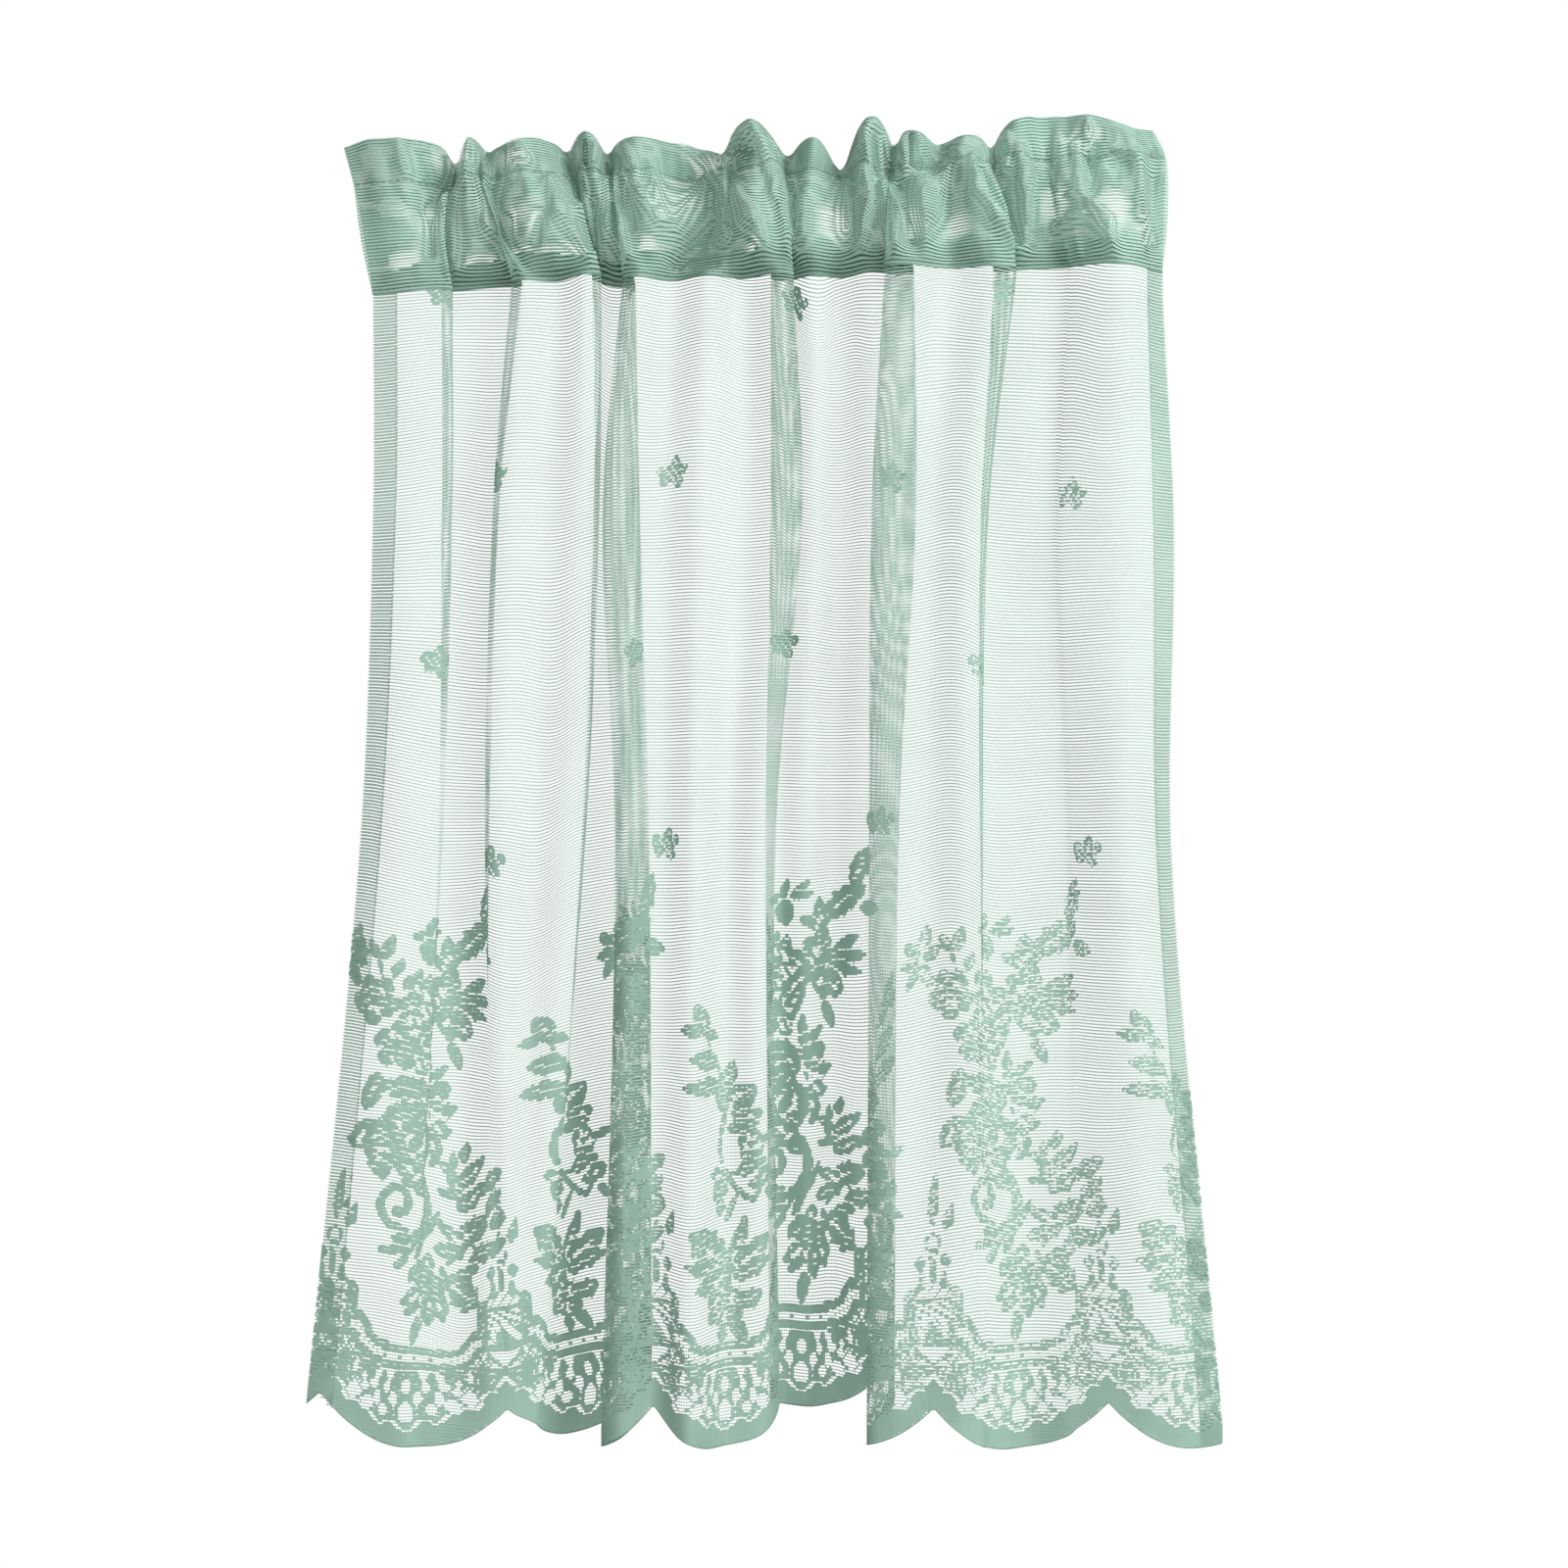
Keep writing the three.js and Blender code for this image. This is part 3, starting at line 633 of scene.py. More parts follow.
def drawBorder(centre):  # the hem band, its openings and the ruled lines of one scallop
    dx, halfCourse = aside(centre), cloth["course"] / 2
    far = np.abs(dx)
    scallopCells = far <= cloth["scallopWidth"] / 2
    under = q < np.interp(far, *zip(*ruled))
    drop = np.interp(far, *zip(*ruled)) - q
    filled[scallopCells & under] = True
    off = np.minimum(*(away(mirrored(ruled, centre, side)) for side in (-1, 1)))
    lay(off < 1.8)
    middle = under & (off >= 1.8) & (far < 16.5)
    for gap in (2.5, 5.5, 10):
        opened[middle & (np.abs(drop - gap) <= halfCourse)] = True
    opened[middle & (np.abs(drop - 4) <= halfCourse) & ((dx + 201.5) % 7.6 < 5.1)] = True
    flank = under & (far >= 16.5) & (far < 33)
    twill(flank & (off >= 1.8) & (off < 6), 3, 4, 2)
    opened[flank & (np.abs(off - 9.9) < halfCourse) & ((q + 30) % 3 < 1.5)] = True
    for side in (-1, 1):
        for x in (7.6, 15):
            for wales, count in ((3, 2), (1, 3)):
                for k in range(count):
                    openAt(centre + side * x, 13.6 - 1.5 * k, wales)
    for x, y, w, h in ovals:
        for side in (-1, 1):
            hole(centre + side * x, y, w, h)
    band[scallopCells & (q < np.interp(far, *zip(*rim)))] = True
    for side in (-1, 1):
        chain(mirrored(rim, centre, side), 2.3)
        for line in dotted:
            chain(mirrored(line, centre, side), 2.6, 1)


# Dotted lines of the lace column, from its middle across and up from the notches
towerLines = [
    [(9.8, 26), (3.4, 18)], [(11.6, 31), (11.2, 44)], [(13, 27.6), (6.4, 19)], [(2.2, 18.4), (1.6, 22)],
]


def drawTower(x):  # the lace column that stands over a notch
    dx = np.abs(aside(x))
    half = np.interp(q, [8, 38, 48, 52, 54, 56, 63], [16, 13.6, 13.6, 13.8, 9.4, 6.8, 6.4])
    filled[(dx < half) & (q > 8) & (q < 63)] = True
    filled[(dx < 1.04 * (q - 19.6)) & (q > 20) & (q < 28)] = False
    dome, ring = np.hypot(dx / 4.8, (q - 29.6) / 8.4), np.hypot(dx / 8.6, (q - 29.6) / 12)
    twill((dome > 1) & (ring < 1) & (q > 30), 3, 4)
    twill((dx < 9.4) & (q > 38.5) & (q < 48) & (ring > 1), 3, 5, 2)
    twill((dx < half - 5) & (q > 48) & (q < 57), 3, 4, -1)
    filled[(dx > 0.9) & (dx < 4.2) & (q > 56) & (q < 63)] = False
    for side in (-1, 1):
        for line in towerLines:
            chain(mirrored(line, x, side), 2.4, 2 if line[0][0] < 4 else 1)
        blob(x + side * 6.2, 65.4, 2.6, 3)
        openAt(x + side * 11.4, 50.2, 1)
        stroke(mirrored([(2.4, 70), (0.4, 65), (0, 60)], x, side), 0.9)
    blob(x, 73.6, 4.2, 4.6)
    hole(x, 73.6, 5.4, 6.4)
    leaf(x - 0.4, 82, x + 1.6, 106, 2.2, teeth=6, vein=False)
    chain([(x, 84), (x + 1, 98)], 3.2, 1)
    leaf(x + 6, 79, x + 9.5, 90, 2.4, vein=False)
    openAt(x + 7.8, 85)


def drawBouquet():
    # sprays at the top
    leaves([
        (33, 221, 35.5, 231, 1.8, 0, False), (32, 221, 24.5, 219.5, 1.6, 0, False),
        (37, 220, 48, 230, 1.7, 0, False), (40, 221.5, 51, 224, 1.4, 0, False),
    ])
    blob(34.5, 214, 5.2, 6)
    leaves([
        (56, 206, 53.5, 221, 4.2), (54, 206, 43, 211.5, 2.2, 0, False), (52, 203, 62, 210, 2.2, 0, False),
        (60, 212, 83, 226, 6.5, 4), (76, 226, 84, 246, 4.6, 3), (80, 214, 91, 212, 3, 0, False),
    ])
    stroke([(55, 205), (51, 197), (46, 188), (42, 176), (38, 160), (36, 148)], 1.2)
    # left sprig
    leaves([
        (12, 206, 17, 218, 2.9, 0, False), (18, 199, 22.5, 208, 2.2, 0, False),
        (11, 206, 4, 214, 2.2, 0, False),
    ])
    stroke([(11, 206), (12, 200), (16, 194), (20, 184), (24, 176)], 0.9)
    stroke([(18, 199), (17, 194)], 0.9)
    leaves([
        (27, 192, 31, 205, 2.4, 0, False), (24, 193, 26, 200, 2.2, 0, False),
    ])
    flower(10, 186.5, 11.5, 5, 0.9)
    flower(29.5, 184, 9.5, 5, 0.4)
    # big jagged leaves, right
    leaves([
        (36, 203, 32, 192, 2.4), (44, 183, 60, 204, 9, 4),
    ])
    sideVeins(44, 183, 60, 204, 6, 3)
    leaves([
        (47, 184, 36, 197, 4, 2), (60, 190, 79, 200, 3.2, 3, False), (60, 188, 84, 191, 2.6, 3, False),
        (60, 186, 80, 183, 2.4, 2, False), (50, 182, 70, 175, 6.2, 3),
    ])
    sideVeins(50, 182, 70, 175, 4, 2)
    leaves([
        (47, 186, 32, 171, 4.6, 3), (44, 178, 33, 161, 3.4), (57, 171, 63, 158, 2.4, 0, False),
        (44, 152, 44, 166, 2.1, 0, False), (42, 152, 57, 159, 2.1, 0, False), (36, 152, 31, 165, 2.2),
    ])
    # five-petal flower
    flower(22.5, 166, 11, 5, 0.3)
    # rose of broad leaves
    leaves([
        (38, 138, 58, 151, 6.2, 3), (38, 134, 61, 141, 5.2, 3), (38, 130, 59, 130, 5.4, 3),
        (38, 132, 54, 118, 6, 3), (38, 134, 41, 111, 7, 3), (40, 136, 33, 154, 5),
        (37, 148, 17, 145, 5.2, 4), (36, 138, 18, 131, 5, 4), (36, 132, 28, 116, 5.6, 2),
    ])
    sideVeins(38, 134, 58, 140, 5, 3)
    # leaves at the left edge
    leaves([
        (16, 152, 9, 134, 4.6, 2), (16, 128, 4, 117, 5.2), (17, 129, 29, 114, 5.8),
        (17, 130, 21, 102, 7.4, 3),
    ])
    sideVeins(17, 130, 21, 104, 5, 3)
    leaf(27, 114, 47, 98, 6, teeth=3)
    sideVeins(27, 114, 47, 98, 4, 3)
    leaves([
        (47, 113, 53, 121, 1.6, 0, False), (66, 105, 52, 117, 2.1, 0, False),
        (66, 103, 52, 103, 1.8, 0, False),
    ])
    # scrolls
    stroke([(41, 77), (33, 80), (25, 83), (21, 91), (24, 98), (30, 99.5), (33.5, 95), (32, 89.5),
            (28, 88.5)], 1.9)
    stroke([(37, 78), (43, 84), (47, 93), (44, 103), (38, 104)], 2.2)
    stroke([(53, 92), (49, 86), (43, 77), (40, 68)], 2.0)
    stroke([(40, 79), (36, 72), (33, 66)], 1.4)
    leaves([
        (37, 77, 26, 76, 1.8, 0, False), (36, 71, 21, 69.5, 1.8, 0, False), (35, 68, 29, 62, 1.8, 0, False),
    ])
    # right-hand sprays
    leaves([
        (59, 105, 60, 122, 2.0, 0, False), (62, 108, 79, 120, 3.6, 3), (64, 118, 68, 127, 2.4, 0, False),
        (76, 104, 93, 115, 3.6, 3), (62, 98, 82, 108, 3.4, 3), (80, 96, 90, 103, 3, 0, False),
        (80, 91, 61, 84, 6, 4), (82, 88, 93, 92, 3, 0, False), (68, 82, 51, 90, 2.6, 2),
        (66, 79, 50, 76, 3.4, 3), (84, 78, 69, 75, 4.2, 3), (82, 74, 92, 82, 2.8, 0, False),
        (62, 68, 76, 71, 2.4, 0, False),
    ])
    stroke([(88, 105), (82, 95), (74, 88), (66, 80), (56, 70), (50, 62)], 1.1)
    # the hanging leaves
    flower(50, 64, 8.5, 5, 0.6)
    leaf(58, 66, 75, 52, 7, teeth=3)
    sideVeins(58, 66, 75, 52, 4, 2)
    leaves([
        (49, 66, 38, 54, 6.4, 2), (48, 62, 42, 49, 4.2), (52, 60, 57, 43, 4.4, 2), (46, 54, 34, 46, 3, 2),
        (50, 53, 50, 38, 3.2), (45, 48, 36.5, 41.5, 1.8, 0, False), (45.5, 42, 43.5, 27, 2.3, 0, False),
    ])


def drawVine():
    leaves([
        (172, 206, 175.5, 220, 2.9), (171, 206, 163, 214, 2.6, 0, False),
        (171, 203, 161, 203, 2.4, 0, False), (173, 204, 182, 208, 2.4, 0, False), (172, 202, 177, 191, 2.8),
        (170, 201, 165, 192, 2.3, 0, False), (120.5, 170, 111, 185, 4.2),
        (116, 173, 103, 174, 2.4, 0, False), (119, 171, 129, 168, 2.1, 0, False),
    ])
    stroke([(120, 171), (122, 162), (128, 155), (131, 143), (132, 131), (129.5, 121), (130, 110),
            (134, 102)], 1.2)
    leaves([
        (128, 156, 108, 161, 4.2, 3), (131, 145, 104, 147.5, 3.6, 3), (131, 141, 137.5, 156, 3.6),
        (134, 133, 127, 141, 2.6, 0, False), (133, 139, 151, 143, 3.6), (136, 130, 150, 141, 3.2, 0, False),
        (136, 128, 155, 131, 2.4), (133, 124, 151, 126, 2.6, 0, False),
    ])
    flower(147, 116, 8.5, 5, 0.2)
    leaf(154, 117, 164, 120, 1.8, vein=False)
    stroke([(134, 103), (141, 105), (147, 110)], 1.1)
    leaves([
        (140, 102, 147, 110, 3), (147, 103, 156, 109, 2.2, 0, False), (148, 100, 157, 103, 1.8, 0, False),
        (134, 102, 122, 105, 3.4, 2), (132, 100, 124, 93, 4.4),
    ])
    blob(129, 89, 3.2, 3.6)
    openAt(129, 90)
    stroke([(134, 101), (139, 96), (144, 92), (149, 91.5), (150, 96), (146, 98)], 1.5)
    stroke([(140, 96), (136, 90), (133, 83)], 1.3)
    leaves([
        (150, 98, 160, 103, 3.6, 2), (154, 93, 163, 88, 2, 0, False),
    ])
    # three-lobed leaf and its joint
    leaf(134, 58, 108, 82, 8.6, teeth=4)
    sideVeins(134, 58, 108, 82, 6, 3)
    leaves([
        (133, 59, 106, 66, 4.6, 3), (134, 57, 110, 54, 4.6, 3), (135, 58, 143, 84, 3.4),
        (136, 58, 157, 72, 5.6, 3), (136, 56, 158, 62, 3.6, 2),
    ])
    stroke([(134, 60), (133, 50)], 1.3)
    flower(131, 43.5, 11.5, 6, 0.5)
    leaves([
        (140, 44, 152, 47, 4.2, 2), (132, 35, 130, 26.5, 2.6, 0, False), (137, 36, 143, 26, 3.2, 0, False),
    ])


def drawButterfly(x, y):  # five wings round a middle, with slanting openings
    wings = ((7, 1.6, 2.4), (1.4, 4.8, 2.6), (-5.4, 1.2, 2.8), (-4, -3.6, 2.4), (3.2, -4.4, 2.8))
    edge = np.min([away([(x, y), (x + dx, y + dy)]) - half for dx, dy, half in wings], axis=0)
    lay(edge < 0)
    twill(edge < -1.2, 1, 3)


for turn in (0.5, 1.5):
    drawBorder(turn * cloth["scallopWidth"])
for notch in (0, cloth["scallopWidth"]):
    drawTower(notch)
drawBouquet()
drawVine()
for x, y in ((91, 259), (28.5, 345), (91, 431), (28.5, 515)):
    drawButterfly(x, y)
filled &= ~opened

# How far a corner of the solid stitches moves, in cells, for none to four solid cells round it,
# and how much less it moves up or down where two are solid
rounding = np.array([0, 0.2, -0.12, -0.24, 0])
flatter = 0.09
# How much of each stitch of the figures is open, from the left edge to the right
airiness = [
    (0, 0.1), (90, 0.16), (120, 0.1), (180, 0.08), (250, 0.2), (340, 0.24), (370, 0.06), (450, 0.06),
    (510, 0.26), (545, 0.36), (690, 0.4),
]


def roundedCells(cells, first, last):  # the chart's solid cells, and their corners a little rounded
    solid = cells[:, np.arange(first - 1, last + 1) % pattern["wales"]]
    solid = np.pad(solid, ((1, 1), (0, 0)))
    quarter = [solid[:-1, :-1], solid[:-1, 1:], solid[1:, :-1], solid[1:, 1:]]
    n = sum(cell.astype(int) for cell in quarter)
    pullP = quarter[1].astype(int) + quarter[3] - quarter[0] - quarter[2]
    pullQ = quarter[2].astype(int) + quarter[3] - quarter[0] - quarter[1]
    lineP = np.arange(first, last + 1) * walePitch
    lineQ = pattern["low"] + np.arange(pattern["rows"] + 1) * cloth["course"]
    gridP, gridQ = np.meshgrid(lineP, lineQ)
    gridP = gridP + rounding[n] * pullP * walePitch
    gridQ = gridQ + (rounding[n] * pullQ - flatter * (n == 2) * pullQ) * cloth["course"]
    return solid[1:-1, 1:-1], gridP, gridQ


def openStitches(vertices, faces, uv, rng):  # each stitch stands a little clear of the one beneath
    vertices, uv = vertices[faces], uv[faces]
    clear = np.interp(uv[:, 0, 0] / mm, *zip(*airiness)) * (0.4 + 1.8 * rng.random(len(faces))**2)
    clear = np.clip(clear, 0, 0.8)[:, None, None]
    for corners in (vertices, uv):
        corners[:, :2] += (corners[:, [3, 2]] - corners[:, :2]) * clear
    faces = np.arange(4 * len(faces)).reshape(-1, 4)
    return vertices.reshape(-1, 3), faces, uv.reshape(-1, 2)


def cellMesh(name, reaches, material, cells, openwork=False):  # reach: ends, layer, line it turns back at
    parts, rng = [], np.random.default_rng(5)
    for low, high, layer, turned in reaches:
        first = math.floor((low - cloth["firstNotch"]) / walePitch)
        last = math.ceil((high - cloth["firstNotch"]) / walePitch)
        solid, gridP, gridQ = roundedCells(cells, first, last)
        u, s = gridP + cloth["firstNotch"], cloth["notchDrop"] - gridQ
        for _ in range(4):
            u = gridP + cloth["firstNotch"] - bumps(creeps, u, s)
        u = np.clip(u, low, high)
        if turned is not None:
            u = 2 * turned - u
        edge = cloth["notchDrop"] + scallop(u)
        middle = (s[1:] + s[:-1]) / 2
        inside = (middle[:, 1:] < edge[1:, 1:] + 0.3) & (middle[:, 1:] > 0)
        s = np.minimum(s, edge)
        place = hang(u, s) + normals(u, s) * layer
        inside &= place[:-1, :-1, 2] < seamAt(u[:-1, :-1]) - 0.5
        inside &= np.abs(u[:-1, 1:] - u[:-1, :-1]) > 0.05
        index = np.arange(u.size).reshape(u.shape)
        faces = np.stack([index[:-1, :-1], index[:-1, 1:], index[1:, 1:], index[1:, :-1]], axis=-1)
        used, faces = np.unique(faces[solid & inside], return_inverse=True)
        part = place.reshape(-1, 3)[used], faces.reshape(-1, 4), flatUv(u, s).reshape(-1, 2)[used]
        parts.append(openStitches(*part, rng) if openwork else part)
    return addParts(name, parts, material)


print("chart drawn", int(filled.sum()))
wholeCloth = [(0, cloth["width"], 0.12, None)]
hemBand = cellMesh("hemBand", wholeCloth, solidYarn, filled & band)
motif = cellMesh("motif", wholeCloth, solidYarn, filled & ~band, True)
print("hem band and motif", len(hemBand.data.polygons), len(motif.data.polygons))

# The cloth turned back down both sides. Each turn: its left and right line, the line where it is
# sewn, half width of its bars. Then how these and the finer lines lie behind the net, and the
# stitches of the sewing.
leftSewn, rightSewn = cloth["sideHem"], cloth["width"] - cloth["sideHem"]
sideTurns = [(0.3, leftSewn, leftSewn, 0.24), (rightSewn, cloth["width"] - 0.3, rightSewn, 0.4)]
hemming = {
    "places": 5, "shift": 0.45, "behind": 0.5, "lineHalf": 0.1, "lineBehind": 0.9,
    "first": 2, "pitch": 2.6, "stitch": 1.9, "stitchHalf": 0.3, "proud": 0.35, "overHem": 6,
}


def sideHems(name, material):
    parts = []
    for low, high, sewn, barWidth in sideTurns:
        line = np.linspace(low, high, hemming["places"])
        bars = (hemming["shift"], barWidth, hemming["behind"])
        fineLines = (0, hemming["lineHalf"], hemming["lineBehind"])
        for shift, half, behind in (bars, fineLines):
            u, s = np.meshgrid(line, courses + shift)
            out = normals(u, s)
            top, bottom = hang(u, s - half) - out * behind, hang(u, s + half) - out * behind
            below = bottom[..., 2] < seamAt(u) - net["tuck"]
            inside = (s + half)[:, 1:] < cloth["notchDrop"] + scallop(u[:, 1:])
            keep = below[:, 1:] & below[:, :-1] & inside
            parts.append((*ribbons(top, bottom, keep), stripUv(u, s - half, s + half)))
        starts = np.arange(hemming["first"], cloth["notchDrop"] + hemming["overHem"], hemming["pitch"])
        s = starts[:, None] + np.array([[0, hemming["stitch"]]])
        u = np.full(s.shape, float(sewn))
        front = normals(u, s) * hemming["proud"]
        left, right = hang(u - hemming["stitchHalf"], s) + front, hang(u + hemming["stitchHalf"], s) + front
        parts.append((*ribbons(left, right, np.ones((len(s), 1), bool)), stripUv(u, s, s)))
    return addParts(name, parts, material)


sideHem = sideHems("sideHems", netYarn)
hemMotif = cellMesh("sideHemMotif", [
    (-cloth["sideHem"], 0, -0.6, 0),
    (cloth["width"], cloth["width"] + cloth["sideHem"], -0.6, cloth["width"]),
], solidYarn, filled)
print("side hems", len(sideHem.data.polygons), len(hemMotif.data.polygons))

# The rod pocket with its ruffle: the cloth runs up the front, over the crown and down the back.
# Levels: the lower seam, the middle of the pocket, the seam under the ruffle, the crown. Each
# row: name, puffs, side, place on the flat cloth, place across, depth. Then the sizes of the
# pocket, its bars, and the gathers along its seams.
headLevels = np.array([0, 0.36, 0.71, 1])
heading = {
    "pocket": 50, "ruffle": 20, "turnUnder": 12.5, "rodRoom": 9.5, "pucker": 1.5, "puckerLength": 5,
    "barHalf": 0.44, "hinderHalf": 0.69, "rows": 72, "step": 1.3, "joins": 18, "crownBlur": 1.6,
    "gatherAbove": 16, "gatherBelow": 14, "slack": 0.35, "bulge": 1.6, "tilt": 0.32,
}
crownAt = heading["pocket"] + heading["ruffle"]
headFolds = [
    ("leftEnd", 1, -1, (0, 0, 0, 0), (-185, -190, -194, -199), (-6, -5, -4, -2)),
    ("firstFront", 0, -1, (39, 42, 50, 56), (-148, -151, -149, -147), (-3, 0, 2, 2)),
    ("firstBack", 1, -1, (51, 53, 58, 60), (-154, -153, -148, -145), (8, 7, 6, 4)),
    ("secondBack", 0, -1, (88, 92, 99, 101), (-116, -124, -133, -133), (7, 6, 6, 4)),
    ("secondFront", 1, -1, (99, 101, 104, 105), (-120, -126, -133, -131), (-4, -6, -3, 0)),
    ("thirdFront", 0, -1, (157, 158, 160, 162), (-78, -85, -91, -95), (-6, -4, 0, 1)),
    ("thirdBack", 1, -1, (170, 170, 170, 168), (-83, -88, -91, -93), (6, 6, 5, 3)),
    ("fourthBack", 0, -1, (204, 206, 208, 212), (-63, -68, -72, -76), (10, 8, 6, 4)),
    ("fourthFront", 2, -1, (230, 228, 222, 218), (-68, -70, -73, -74), (-8, -6, 0, 2)),
    ("ridge", 1, -1, (292, 298, 306, 312), (-20, -21, -20, -19), (-2, -6, -2, 1)),
    ("fifthFront", 0, -1, (346, 350, 362, 370), (12, 10, 8, 5), (-6, -6, -2, 1)),
    ("fifthBack", 1, -1, (372, 374, 375, 376), (1, 2, 5, 7), (10, 8, 6, 4)),
    ("loopLeft", 1, -1, (425, 428, 432, 437), (37, 36, 35, 36), (4, 4, 6, 5)),
    ("sixthBack", 0, -1, (468, 475, 488, 495), (69, 64, 60, 58), (12, 10, 7, 5)),
    ("sixthFront", 1, -1, (498, 498, 499, 500), (54, 55, 57, 59), (-10, -8, -2, 1)),
    ("dip", 1, -1, (535, 537, 541, 543), (86, 82, 79, 80), (0, -3, 3, 4)),
    ("seventhFront", 0, -1, (571, 574, 580, 586), (116, 112, 104, 103), (-4, -6, -2, 0)),
    ("seventhBack", 1, -1, (585, 586, 588, 592), (106, 106, 104, 106), (6, 5, 5, 4)),
    ("softBack", 0, -1, (615, 616, 618, 622), (140, 134, 130, 128), (4, 2, 0, 0)),
    ("softFront", 1, -1, (625, 626, 628, 630), (142, 137, 134, 136), (-6, -6, -4, -1)),
    ("rightEnd", 0, -1, (682, 682, 682, 682), (185, 187, 187, 181), (-4, -5, -4, -2)),
]
head = solveDrape(headFolds, headLevels, heading["rows"], hanging["columns"])[0]
wrinkle = np.random.default_rng(7).normal(size=160)  # the puckers along the seams
# Height of the ruffle's upper edge, and of the seam under it, from left to right
crownLine = np.array([
    (-200, 38), (-188, 41.3), (-164, 41), (-154, 39.5), (-150, 36), (-147, 28), (-145, 35), (-142, 39.8),
    (-137, 40.8), (-133.5, 38.6), (-131.5, 35.5), (-128, 37), (-107, 40), (-98, 39), (-94.5, 35),
    (-92.5, 39.5), (-89, 43), (-83, 43.4), (-79.5, 41), (-77, 36.5), (-75.5, 34), (-74, 38), (-69, 40.6),
    (-49, 41), (-38, 42.7), (-29, 41), (-23, 37.5), (-20.5, 36), (-18.5, 42), (-15, 46.5), (-9, 47.5),
    (-3, 45.6), (3, 41.5), (7, 37), (10, 33.5), (13, 37), (17, 39.4), (23, 39.4), (27.5, 35), (31, 30),
    (35, 28), (37.5, 35), (40, 43), (44, 48), (49.5, 50), (54.5, 48), (57.8, 42), (59.3, 35), (61, 42.5),
    (64, 45), (71, 43), (78, 40.6), (89, 41.4), (98, 42.5), (102.5, 40.5), (105, 37), (107.5, 43.5),
    (112, 49.5), (121, 52.4), (132, 53.2), (150, 52), (164, 47.5), (171, 46), (183, 46.4),
])
sewnLine = np.array([(-192, 20), (-150, 20), (-100, 24), (0, 25), (60, 26), (105, 31), (185, 33)])
